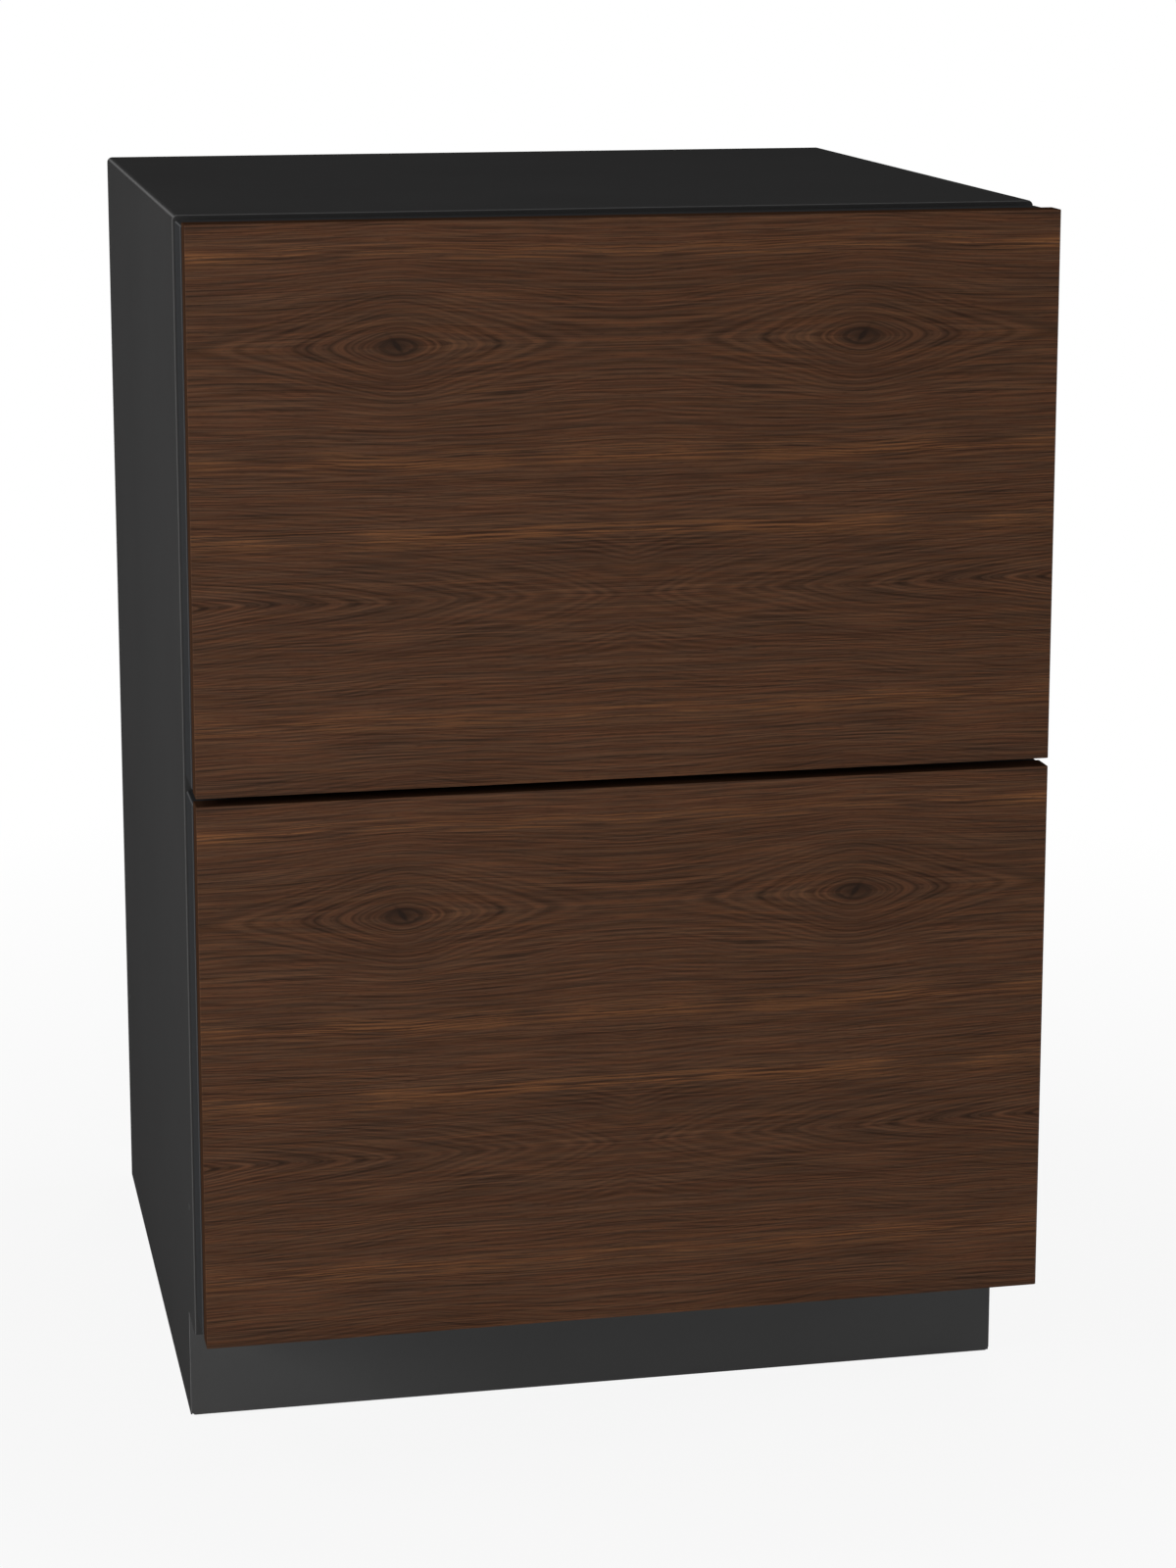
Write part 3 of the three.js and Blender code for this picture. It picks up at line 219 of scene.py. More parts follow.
def loft(rings: Sequence[Sequence[Vector]], wrap: bool = False) -> Mesh:
    """Join rings of equally many points with faces.

    Args:
        rings: the rings, in order.
        wrap: whether the last ring joins the first, else both are closed with a face.

    Returns:
        The mesh.
    """
    mesh = bmesh.new()
    rows = [[mesh.verts.new(point) for point in ring] for ring in rings]
    count = len(rows[0])
    for near, far in zip(rows, rows[1:] + rows[:1] if wrap else rows[1:]):
        for i in range(count):
            j = (i + 1) % count
            mesh.faces.new((near[i], near[j], far[j], far[i]))
    if not wrap:
        mesh.faces.new(list(reversed(rows[0])))
        mesh.faces.new(rows[-1])
    bmesh.ops.recalc_face_normals(mesh, faces=mesh.faces)
    return mesh


def merge(parts: Iterable[Mesh]) -> Mesh:
    """Put several meshes into one and free them.

    Args:
        parts: the meshes.

    Returns:
        The joint mesh.
    """
    whole = bmesh.new()
    for part in parts:
        scratch = bpy.data.meshes.new("scratch")
        part.to_mesh(scratch)
        part.free()
        whole.from_mesh(scratch)
        bpy.data.meshes.remove(scratch)
    return whole


def bevelled(mesh: Mesh, edges: Iterable[bmesh.types.BMEdge], radius: float, steps: int,
             clamp: bool = False) -> None:
    """Round some of a mesh's edges; a clamp stops the roundings where they would meet."""
    bmesh.ops.bevel(mesh, geom=list(edges), offset=radius, segments=steps, profile=0.5,
                    affect="EDGES", clamp_overlap=clamp)


def turned(profile: Sequence[Point2], axis: Axis, centre: Vector, segments: int,
           wrap: bool = False) -> Mesh:
    """Turn a profile about an axis.

    Args:
        profile: (radius, distance along) points.
        axis: the axis's direction.
        centre: the place on the axis that distances are measured from.
        segments: the steps of a full turn.
        wrap: whether the last point joins the first, which makes a ring.

    Returns:
        The mesh.
    """
    angles = circle(segments)
    rings = [
        [centre + axis.place(reach * math.cos(a), reach * math.sin(a), along) for a in angles]
        for reach, along in profile
    ]
    return loft(rings, wrap)


def framed(low: Point2, high: Point2, radius: float, profile: Sequence[Point2],
           wrap: bool = False, segments: int = 6) -> Mesh:
    """Loft rounded rectangles that face forward and step inward and back.

    Args:
        low: the lower left corner, seen from the front.
        high: the upper right corner.
        radius: the corner radius.
        profile: (inset, place along y) of each step.
        wrap: whether the last step joins the first, which makes a closed frame.
        segments: the steps of each corner.

    Returns:
        The mesh.
    """
    sharpest = 0.1 * MM
    rings = []
    for inset, along in profile:
        corner = max(radius - inset, sharpest)
        loop = rounded_loop(low, high, corner, segments, inset, inset)
        rings.append([Axis.Y.place(u, v, along) for u, v in loop])
    return loft(rings, wrap)


def edge_round(along: float, radius: float, inward: int, steps: int = 4) -> list[Point2]:
    """Find a rounded outer edge's profile, in the order of a part drawn from front to back.

    Args:
        along: where the end face lies along the axis.
        radius: the edge radius.
        inward: 1 at the front end, where the body goes on to the back, else -1.
        steps: how many steps the rounding has.

    Returns:
        (inset, along) points.
    """
    points = [
        (radius * (1 - math.sin(turn)), along + inward * radius * (1 - math.cos(turn)))
        for turn in quarter(steps)
    ]
    return points[::inward]


def block(low: Point3, high: Point3, radius: float = 0.0) -> Mesh:
    """Build a block between two corners.

    Args:
        low: its lowest corner.
        high: its highest corner.
        radius: the rounding of all its edges.

    Returns:
        The mesh.
    """
    mesh = bmesh.new()
    bmesh.ops.create_cube(mesh, size=1.0)
    corner, size = Vector(low), Vector(high) - Vector(low)
    for vertex in mesh.verts:
        vertex.co = Vector(corner[i] + (vertex.co[i] + 0.5) * size[i] for i in range(3))
    if radius > 0:
        bevelled(mesh, mesh.edges, radius, 2)
    return mesh


def drawn(outline: Sequence[Point2], axis: Axis, start: float, end: float,
          radius: float = 0.0) -> Mesh:
    """Draw a closed outline out along an axis.

    Args:
        outline: the outline's points.
        axis: the axis.
        start: where the body starts along the axis.
        end: where it ends.
        radius: the rounding of all its edges.

    Returns:
        The mesh.
    """
    mesh = loft([[axis.place(u, v, along) for u, v in outline] for along in (start, end)])
    if radius > 0:
        bevelled(mesh, mesh.edges, radius, 2, clamp=True)
    return mesh


def open_box(outline: Sequence[Point2], half: float, mouth: Vector, corner: float) -> Mesh:
    """Draw a side outline out across the object, open one side and round the other edges.

    Args:
        outline: the (y, z) outline.
        half: half the body's width.
        mouth: the middle of the side that is taken away.
        corner: the radius of the edges that are left.

    Returns:
        The skin being built.
    """
    mesh = drawn(outline, Axis.X, -half, half)
    lid = min(mesh.faces, key=lambda face: (face.calc_center_median() - mouth).length)
    bmesh.ops.delete(mesh, geom=[lid], context="FACES_ONLY")
    bevelled(mesh, (edge for edge in mesh.edges if len(edge.link_faces) == 2), corner, 6)
    return mesh


def piece(name: str, mesh: Mesh, smooth_below: float = 40.0) -> Object:
    """Make an object from a finished mesh.

    Args:
        name: the piece's name.
        mesh: the mesh being built, which is freed.
        smooth_below: edges that turn less than this many degrees shade smooth.

    Returns:
        The new object, linked to the scene.
    """
    data = bpy.data.meshes.new(name)
    mesh.to_mesh(data)
    mesh.free()
    for polygon in data.polygons:
        polygon.use_smooth = True
    data.set_sharp_from_angle(angle=math.radians(smooth_below))
    made = bpy.data.objects.new(name, data)
    bpy.context.scene.collection.objects.link(made)
    return made


def modify(made: Object, name: str, kind: str, **settings: object) -> None:
    """Add a modifier to an object.

    Args:
        made: the object.
        name: the modifier's name.
        kind: its type.
        settings: its properties.
    """
    added = made.modifiers.new(name, kind)
    for key, value in settings.items():
        setattr(added, key, value)


def soften(made: Object, width: float, steps: int) -> None:
    """Round an object's sharp edges."""
    modify(made, "rounded_edges", "BEVEL", width=width, segments=steps, limit_method="ANGLE",
           angle_limit=math.radians(35.0), harden_normals=True)


def thicken(made: Object, sheet: float) -> None:
    """Give an open skin the thickness of its sheet, inward."""
    modify(made, "sheet", "SOLIDIFY", thickness=sheet, offset=-1.0, use_even_offset=True)


def weigh_normals(made: Object) -> None:
    """Keep the shading of large flat faces even where they meet rounded edges."""
    modify(made, "even_shading", "WEIGHTED_NORMAL", keep_sharp=True, weight=60)


def formed_copy(node: str, width: float, steps: int = 2) -> Object:
    """Return a copy of a CAD node's shape with its edges rounded.

    Args:
        node: the CAD node.
        width: the rounding's width.
        steps: the rounding's segments.

    Returns:
        The new object, which stands for the node.
    """
    same_place, flat = 0.01 * MM, math.radians(1.0)
    mesh = bmesh.new()
    mesh.from_mesh(frame["nodes"][node].data)
    bmesh.ops.remove_doubles(mesh, verts=mesh.verts, dist=same_place)
    bmesh.ops.dissolve_limit(mesh, angle_limit=flat, verts=mesh.verts, edges=mesh.edges)
    bmesh.ops.connect_verts_concave(mesh, faces=mesh.faces)
    made = piece(f"{node}_formed", mesh)
    soften(made, width, steps)
    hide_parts(node)
    return made


def tube(name: str, points: Sequence[Vector], radius: float, turn: float) -> Object:
    """Make a round tube along straight runs with rounded turns.

    Args:
        name: the piece's name.
        points: the corners of the route.
        radius: the tube's radius.
        turn: the radius of its turns.

    Returns:
        The tube, as a curve object.
    """
    route, steps = [points[0]], 6
    for before, corner, after in zip(points, points[1:], points[2:]):
        near = corner + (before - corner).normalized() * turn
        far = corner + (after - corner).normalized() * turn
        for step in range(steps + 1):
            t = step / steps
            route.append(near * (1 - t) ** 2 + corner * 2 * t * (1 - t) + far * t * t)
    route.append(points[-1])
    curve = bpy.data.curves.new(name, "CURVE")
    curve.dimensions = "3D"
    curve.bevel_depth = radius
    curve.bevel_resolution = 4
    curve.use_fill_caps = True
    spline = curve.splines.new("POLY")
    spline.points.add(len(route) - 1)
    for point, place in zip(spline.points, route):
        point.co = (*place, 1.0)
    made = bpy.data.objects.new(name, curve)
    bpy.context.scene.collection.objects.link(made)
    return made


def cross_radius(angle: float, arm: float, reach: float) -> float:
    """Return the distance from the middle to the edge of a plus-shaped recess.

    Args:
        angle: the direction from the middle.
        arm: half the width of the plus's arms.
        reach: how far its arms reach.

    Returns:
        The distance.
    """
    c, s = abs(math.cos(angle)), abs(math.sin(angle))
    if s * reach < c * arm:
        return reach / c
    if c * reach < s * arm:
        return reach / s
    return arm / max(min(c, s), 1e-6)


def screw_head(centre: Vector, out: Vector, radius: float, height: float) -> Mesh:
    """Return a domed screw head with a cross recess.

    Args:
        centre: the middle of the head's seat.
        out: the direction that the head faces.
        radius: the head's radius.
        height: its height over the seat.

    Returns:
        The mesh.
    """
    dome = ((1.0, 0.0), (1.0, 0.35), (0.86, 0.72), (0.62, 1.0))
    recess = ((0.5, 1.0), (0.42, 0.25))
    arm = 0.13
    turn = out.to_track_quat("Z", "Y").to_matrix()
    angles = circle(32)
    outlines = [([share] * len(angles), lift) for share, lift in dome]
    outlines += [([cross_radius(a, arm, reach) for a in angles], lift) for reach, lift in recess]
    return loft([
        [
            centre + turn @ Vector((
                share * radius * math.cos(a), share * radius * math.sin(a), lift * height
            ))
            for share, a in zip(shares, angles)
        ]
        for shares, lift in outlines
    ])


def screws(places: Iterable[Point3], out: Point3, radius: float, height: float) -> Mesh:
    """Return equal screw heads at several places, facing one way."""
    return merge(screw_head(Vector(place), Vector(out), radius, height) for place in places)


# ---- material nodes


@dataclass(frozen=True)
class Finish:
    """A finish that builds its own material. Each kind has its own nodes."""

    name: str

    @cached_property
    def material(self) -> Material:
        """Make the material at its first use.

        Returns:
            The material, which has a principled shader.
        """
        made = bpy.data.materials.new(self.name)
        made.use_nodes = True
        return made

    @cached_property
    def place(self) -> Socket:
        """Return the coordinates of the piece that wears the finish."""
        return self.add("ShaderNodeTexCoord").outputs["Object"]

    @property
    def nodes(self) -> bpy.types.Nodes:
        """Return the finish's nodes."""
        return self.material.node_tree.nodes

    @property
    def shader(self) -> bpy.types.Node:
        """Return the principled shader."""
        return self.nodes["Principled BSDF"]

    def make(self) -> Material:
        """Build the nodes and return the material."""
        self.build()
        return self.material

    def build(self) -> None:
        """Build the finish's nodes."""
        raise NotImplementedError

    def add(self, kind: str, *values: object, **settings: object) -> bpy.types.Node:
        """Add a node.

        Args:
            kind: the node's type.
            values: what its first inputs get.
            settings: its properties.

        Returns:
            The node.
        """
        node = self.nodes.new(kind)
        for key, value in settings.items():
            setattr(node, key, value)
        for target, value in zip(node.inputs, values):
            self.feed(target, value)
        return node

    def feed(self, target: Socket, value: object) -> None:
        """Join a socket to an input, or set the input to a plain value.

        Args:
            target: the input.
            value: the socket, number or vector.
        """
        if isinstance(value, Socket):
            self.material.node_tree.links.new(value, target)
        else:
            target.default_value = value

    def math(self, operation: str, *values: object, clamp: bool = False) -> Socket:
        """Return the result of a Math node."""
        return self.add("ShaderNodeMath", *values, operation=operation, use_clamp=clamp).outputs[0]

    def plus(self, first: object, second: object, clamp: bool = False) -> Socket:
        """Return the sum of two values."""
        return self.math("ADD", first, second, clamp=clamp)

    def minus(self, first: object, second: object) -> Socket:
        """Return the first value less the second."""
        return self.math("SUBTRACT", first, second)

    def times(self, first: object, second: object, clamp: bool = False) -> Socket:
        """Return the product of two values."""
        return self.math("MULTIPLY", first, second, clamp=clamp)

    def times_plus(self, first: object, second: object, more: object) -> Socket:
        """Return the product of two values plus a third."""
        return self.math("MULTIPLY_ADD", first, second, more)

    def over(self, first: object, second: object) -> Socket:
        """Return the first value divided by the second."""
        return self.math("DIVIDE", first, second)

    def blunted(self, value: Socket, square: object) -> Socket:
        """Return a value's size, rounded off near 0 by a square that is added to its own."""
        return self.math("SQRT", self.times_plus(value, value, square))

    def size(self, value: object) -> Socket:
        """Return a value without its sign."""
        return self.math("ABSOLUTE", value)

    def fall(self, value: object, reach: float = 1.0) -> Socket:
        """Return a value that falls from 1 at 0, to about a third at the reach."""
        return self.math("EXPONENT", self.over(value, -reach))

    def blend(self, first: object, second: object, share: float) -> Socket:
        """Return the mean of two values, where the first has a share and the second the rest."""
        return self.plus(self.times(first, share), self.times(second, 1 - share))

    def wave(self, turns: Socket) -> Socket:
        """Return a sine that swings once for each whole turn."""
        return self.math("SINE", self.times(turns, 2 * math.pi))

    def spot(self, across: Socket, along: Socket, size: Point2) -> Socket:
        """Return a soft oval spot of 1, from the distances to its middle and its size both ways."""
        parts = [self.over(value, reach) for value, reach in zip((across, along), size)]
        return self.fall(self.plus(*(self.math("POWER", part, 2.0) for part in parts)))

    def vector(self, x: object, y: object, z: object) -> Socket:
        """Return three values put together."""
        return self.add("ShaderNodeCombineXYZ", x, y, z).outputs[0]

    def split(self, vector: Socket) -> tuple[Socket, ...]:
        """Return a vector's x, y and z."""
        return tuple(self.add("ShaderNodeSeparateXYZ", vector).outputs)

    def bends(self) -> Socket:
        """Find the rounded edges by the largest part of the normal.

        Returns:
            A mask that is 1 on rounded edges and 0 on faces square to the axes.
        """
        sides = self.split(self.add("ShaderNodeTexCoord").outputs["Normal"])
        x, y, z = (self.size(side) for side in sides)
        flat, bent = 0.9, 0.76
        return self.remap(self.math("MAXIMUM", self.math("MAXIMUM", x, y), z), flat, bent)

    def stretched(self, x: float, y: float, z: float) -> Socket:
        """Return the piece's coordinates, scaled along each axis."""
        still = (0.0, 0.0, 0.0)
        return self.add("ShaderNodeMapping", self.place, still, still, (x, y, z)).outputs[0]

    def noise(self, vector: Socket, scale: float = 1.0, detail: float = 2.0,
              rough: float = 0.5) -> Socket:
        """Return a noise texture of about 0.5, with some finer and weaker layers in it."""
        return self.add("ShaderNodeTexNoise", vector, 0.0, scale, detail, rough).outputs["Fac"]

    def cells(self, scale: float, output: str) -> Socket:
        """Return one output of a cell texture."""
        return self.add("ShaderNodeTexVoronoi", self.place, 0.0, scale).outputs[output]

    def remap(self, value: object, low: float, high: float, to_low: float = 0.0,
              to_high: float = 1.0) -> Socket:
        """Return a value mapped from one range to another and kept inside."""
        ends = (low, high, to_low, to_high)
        return self.add("ShaderNodeMapRange", value, *ends, clamp=True).outputs[0]

    def ramp(self, value: Socket, *stops: tuple[float, Colour]) -> Socket:
        """Turn a value into a colour.

        Args:
            value: the value.
            stops: (value, colour) of each stop, in order.

        Returns:
            The colour.
        """
        node = self.add("ShaderNodeValToRGB", value)
        elements = node.color_ramp.elements
        while len(elements) < len(stops):
            elements.new(0.5)
        for element, (place, colour) in zip(elements, stops):
            element.position = place
            element.color = opaque(colour)
        return node.outputs[0]

    def mix(self, share: object, first: object, second: object, blend: str = "MIX") -> Socket:
        """Mix two colours.

        Args:
            share: the second colour's share.
            first: the first colour.
            second: the second colour.
            blend: the way of mixing.

        Returns:
            The mixed colour.
        """
        node = self.add("ShaderNodeMix", share, data_type="RGBA", blend_type=blend)
        for target, colour in zip(node.inputs[6:8], (first, second)):
            self.feed(target, opaque(colour))
        return node.outputs[2]

    def bump(self, height: Socket, strength: float, distance: float) -> None:
        """Let a height texture tilt the shader's normal.

        Args:
            height: the texture.
            strength: the share of the tilt that shows.
            distance: how high the texture's 1 stands.
        """
        node = self.add("ShaderNodeBump")
        for key, value in (("Strength", strength), ("Distance", distance), ("Height", height)):
            self.feed(node.inputs[key], value)
        self.fix(Normal=node.outputs["Normal"])

    def fix(self, **values: object) -> None:
        """Feed the principled shader's inputs, named with underscores for spaces."""
        for key, value in values.items():
            self.feed(self.shader.inputs[key.replace("_", " ")], opaque(value))

    def let_through(self, colour: Colour, share: float) -> None:
        """Let part of the light pass straight through thin walls, and part glow in them.

        Args:
            colour: the tint of the light that passes.
            share: the part that passes straight.
        """
        whole, glow_share = self.shader.outputs[0], 0.45
        for kind, part in (("Translucent", glow_share), ("Transparent", share)):
            passing = self.add(f"ShaderNodeBsdf{kind}", opaque(colour)).outputs[0]
            whole = self.add("ShaderNodeMixShader", part, whole, passing).outputs[0]
        self.feed(self.nodes["Material Output"].inputs["Surface"], whole)

    def white_rays(self) -> Socket:
        """Tell how white a ray finds the object's surroundings.

        Returns:
            1 for camera and transmission rays, and a part of 1 for glossy ones.
        """
        path, mirrored = self.add("ShaderNodeLightPath").outputs, 0.6
        found = path["Is Camera Ray"]
        for name, share in (("Is Glossy Ray", mirrored), ("Is Transmission Ray", 1.0)):
            found = self.math("MULTIPLY_ADD", path[name], share, found, clamp=True)
        return found


def opaque(colour: object) -> object:
    """Return a colour with its fourth channel, or a socket as it is."""
    return (*colour, 1.0) if isinstance(colour, tuple) else colour


def shade(colour: Colour, factor: float) -> Colour:
    """Return a colour made lighter or darker by a factor."""
    return tuple(min(channel * factor, 1.0) for channel in colour)


# ---- finishes


@dataclass(frozen=True)
class PowderCoat(Finish):
    """Satin powder coat on steel: fine orange peel, faint cloudiness, handling marks and a painted
    highlight on the bends.
    """

    colour: Colour
    roughness: float = 0.58
    rub_spread: float = 0.03
    peel: float = 900.0
    peel_depth: float = 0.25
    tone_spread: float = 0.06
    gloss: float = 0.0
    bend_coat: float = 0.14
    bend_gloss: float = 0.2
    # How much lighter the rounded edges' colour is: a painted highlight along the bends.
    bend_painted_highlight: float = 2.1

    def build(self) -> None:
        """Build the finish's nodes."""
        cloud = self.noise(self.place, 6.0, 4.0, 0.6)
        speck = self.noise(self.place, 1500.0, 1.0)
        colour = self.ramp(
            self.blend(cloud, speck, 0.6), (0.3, shade(self.colour, 1 - self.tone_spread)),
            (0.5, self.colour), (0.72, shade(self.colour, 1 + self.tone_spread)),
        )
        bends = self.bends()
        rub = self.noise(self.stretched(14.0, 14.0, 5.0), 1.0, 5.0, 0.65)
        low, high = self.roughness - self.rub_spread, self.roughness + self.rub_spread
        self.bump(self.noise(self.place, self.peel, 2.0, 0.4), self.peel_depth, 0.1 * MM)
        # Rounded edges get a lighter base colour, a painted highlight; the coat on them is real
        # gloss.
        self.fix(
            Base_Color=self.mix(bends, colour, shade(self.colour, self.bend_painted_highlight)),
            Roughness=self.remap(rub, 0.3, 0.7, low, high), Specular_IOR_Level=self.gloss,
            Coat_Weight=self.times(bends, self.bend_coat), Coat_Roughness=self.bend_gloss,
        )


@dataclass(frozen=True)
class Fibre:
    """One kind of streak in the wood: its length and width in millimetres, and its pattern."""

    length: float
    width: float
    pattern: float
    detail: float = 1.0


@dataclass(frozen=True)
class WalnutVeneer(Finish):
    """Dark walnut veneer with horizontal grain, matched like a book about the panel's middle.

    Places on the panel are in millimetres: across from its middle, and down from its top.
    """

    panel_top: float
    panel_pitch: float
    dark: Colour = (0.032, 0.0152, 0.0082)
    middle: Colour = (0.085, 0.0420, 0.0232)
    light: Colour = (0.166, 0.0770, 0.0400)
    streak: Colour = (0.38, 0.155, 0.056)
    tint: Colour = (1.03, 0.81, 0.68)
    knot_across: float = 161.0
    knot_drop: float = 83.0
    knot_depth: float = 38.0
    knot_reach: float = 60.0
    knot_fade: float = 41.0
    knot_round: float = 14.0
    knot_blunt: float = 60.0
    knot_push: float = 16.0
    eye: Point2 = (15.0, 6.5)
    eye_share: float = 0.84
    check: Point2 = (1.5, 8.0)
    check_lean: Point2 = (0.8, 0.6)
    check_share: float = 0.4
    arch_across: float = 305.0
    arch_drop: float = 256.0
    arch_slope: float = 0.15
    arch_fade: float = 66.0
    arch_blunt: float = 2.5
    low_knot_drop: float = 424.0
    ring_pitch: float = 5.2
    ring_edge: float = 2.6
    ring_share: float = 0.135
    line_pitch: float = 2.5
    line_share: float = 0.062
    fine_share: float = 0.6
    coarse_share: float = 0.2
    broad_share: float = 0.2
    glow_drops: tuple[float, ...] = (22.0, 160.0, 212.0, 338.0)
    glow_width: float = 6.5
    glow_share: float = 0.62
    straight: Fibre = Fibre(70.0, 0.85, 0.0)
    curved: Fibre = Fibre(65.0, 0.85, 2.6)
    coarse: Fibre = Fibre(150.0, 2.6, 4.4)
    broad: Fibre = Fibre(260.0, 34.0, 8.8)
    sparks: Fibre = Fibre(55.0, 0.9, 9.4)
    pores: Fibre = Fibre(9.0, 0.55, 7.1)
    wander: tuple[Fibre, Fibre] = (Fibre(120.0, 45.0, 1.7), Fibre(42.0, 12.0, 5.1))

    def ridge(self, side: Socket, depth: Socket, fade: float, blunt: object) -> Socket:
        """Return the ring distance beside a pith. Its lines run to a blunt point over the pith."""
        side = self.blunted(side, blunt)
        return self.times_plus(depth, self.fall(side, fade), side)

    def knot_fall(self, u: Socket) -> Socket:
        """Return 1 at the knot, falling to 0 along the panel."""
        reach = self.blunted(self.minus(u, self.knot_across), self.knot_round ** 2)
        return self.fall(self.minus(reach, self.knot_round), self.knot_reach)

    def rings(self, u: Socket, v: Socket) -> tuple[Socket, Socket]:
        """Return the ring distance and the nearness to a pith.

        Args:
            u: the place across.
            v: the place down.

        Returns:
            The least distance to the piths, and a mask that is 1 at them.
        """
        fall = self.knot_fall(u)
        knot = self.times(self.minus(1.0, fall), self.knot_depth)
        blunt = self.times_plus(self.math("POWER", fall, 3.0), self.knot_blunt, 1.0)
        arch = self.times(self.minus(self.arch_across, u), self.arch_slope)
        above, mid, below = (
            self.minus(v, drop) for drop in (self.knot_drop, self.arch_drop, self.low_knot_drop)
        )
        upper = self.ridge(above, knot, self.knot_fade, blunt)
        middle = self.ridge(mid, arch, self.arch_fade, self.arch_blunt)
        lower = self.ridge(below, knot, self.knot_fade, blunt)
        whole = self.math("MINIMUM", self.math("MINIMUM", upper, middle), lower)
        return whole, self.remap(whole, 26.0, 60.0, 1.0, 0.0)

    def fibre_place(self, u: Socket, v: Socket) -> Socket:
        """Part the fibres a little round the knot.

        Args:
            u: the place across.
            v: the place down.

        Returns:
            The new place down.
        """
        soft = 7.0
        side = self.minus(v, self.knot_drop)
        size = self.size(side)
        push = self.over(side, self.plus(size, soft))
        push = self.times(push, self.fall(size, self.knot_fade))
        return self.times_plus(push, self.times(self.knot_fall(u), -self.knot_push), v)

    def grain(self, place: tuple[Socket, Socket], fibre: Fibre) -> Socket:
        """Return one kind of streak, of about 0.5, at a place across and down."""
        parts = (self.over(way, size) for way, size in zip(place, (fibre.length, fibre.width)))
        return self.noise(self.vector(*parts, fibre.pattern), 1.0, fibre.detail, 0.55)

    def lift(self, place: tuple[Socket, Socket]) -> Socket:
        """Return how far down the grain wanders, in millimetres."""
        sway, wave = (self.minus(self.grain(place, fibre), 0.5) for fibre in self.wander)
        return self.plus(self.times(sway, 5.0), self.times(wave, 0.9))

    def late_wood(self, place: tuple[Socket, Socket], near: Socket) -> Socket:
        """Return the dark lines at the end of each year's ring.

        Args:
            place: the place across and the ring distance.
            near: the nearness to a pith, where the lines are strongest.

        Returns:
            The lines, between 0 and 1.
        """
        drift = self.grain(place, Fibre(130.0, 8.0, 3.3))
        turns = self.times_plus(drift, 1.2, self.over(place[1], self.ring_pitch))
        line = self.math("POWER", self.times_plus(self.wave(turns), 0.5, 0.5), self.ring_edge)
        share = self.remap(self.grain(place, Fibre(75.0, 6.0, 6.2)), 0.3, 0.62, 0.3, 1.0)
        return self.times(self.times(line, share), self.times_plus(near, 0.9, 0.1))

    def fine_lines(self, place: tuple[Socket, Socket]) -> Socket:
        """Return thin lines that run side by side round the piths.

        Args:
            place: the place across and the ring distance.

        Returns:
            The lines, between -1 and 1.
        """
        slow = self.times(self.grain(place, Fibre(110.0, 16.0, 1.1)), 4.0)
        quick = self.times_plus(self.grain(place, Fibre(60.0, 5.0, 8.2)), 0.9, slow)
        swing = self.wave(self.times_plus(place[1], 1 / self.line_pitch, quick))
        share = self.remap(self.grain(place, Fibre(90.0, 9.0, 3.9)), 0.34, 0.56, 0.35, 1.0)
        return self.times(swing, share)

    def glow(self, place: tuple[Socket, Socket]) -> Socket:
        """Return the thin light streaks, which gather in a few bands.

        Args:
            place: the place across and down.

        Returns:
            The streaks, between 0 and 1.
        """
        bands: Socket | float = 0.0
        for drop in self.glow_drops:
            off = self.over(self.minus(place[1], drop), self.glow_width)
            bands = self.plus(bands, self.fall(self.times(off, off)))
        spark = self.remap(self.grain(place, self.sparks), 0.48, 0.7)
        return self.times(self.times_plus(bands, 0.75, 0.25), spark, clamp=True)

    def knot_mask(self, u: Socket, v: Socket) -> Socket:
        """Return a mask of the knot's dark eye and the slanting check in it.

        Args:
            u: the place across.
            v: the place down.

        Returns:
            The mask, between 0 and 1.
        """
        du, dv = self.minus(u, self.knot_across), self.minus(v, self.knot_drop)
        eye = self.spot(du, dv, self.eye)
        flat, steep = self.check_lean
        side = self.plus(self.times(du, flat), self.times(dv, steep))
        along = self.minus(self.times(dv, flat), self.times(du, steep))
        check = self.spot(side, along, self.check)
        dark = self.times(check, self.check_share)
        return self.plus(self.times(eye, self.eye_share), dark, clamp=True)

    def tone(self, place: tuple[Socket, Socket], bent: Socket,
             flat: tuple[Socket, Socket]) -> tuple[Socket, Socket]:
        """Return how light the wood is.

        Args:
            place: the place across and down, parted round the knot.
            bent: the place down, with the grain's wandering.
            flat: the true place across and down.

        Returns:
            The tone, and the fine grain in it.
        """
        ring, near = self.rings(place[0], bent)
        curve = (place[0], ring)
        straight = self.grain(place, self.straight)
        curved = self.grain(curve, self.curved)
        turn = self.remap(ring, 10.0, 38.0, 1.0, 0.0)
        fine = self.times_plus(self.minus(curved, straight), turn, straight)
        coarse = self.grain(place, self.coarse)
        broad = self.remap(self.grain(flat, self.broad), 0.0, 1.0, 0.22, 0.78)
        tone = self.plus(self.times(fine, self.fine_share), self.times(coarse, self.coarse_share))
        tone = self.times_plus(broad, self.broad_share, tone)
        tone = self.minus(tone, self.times(self.late_wood(curve, near), self.ring_share))
        return self.times_plus(self.fine_lines(curve), self.line_share, tone), fine

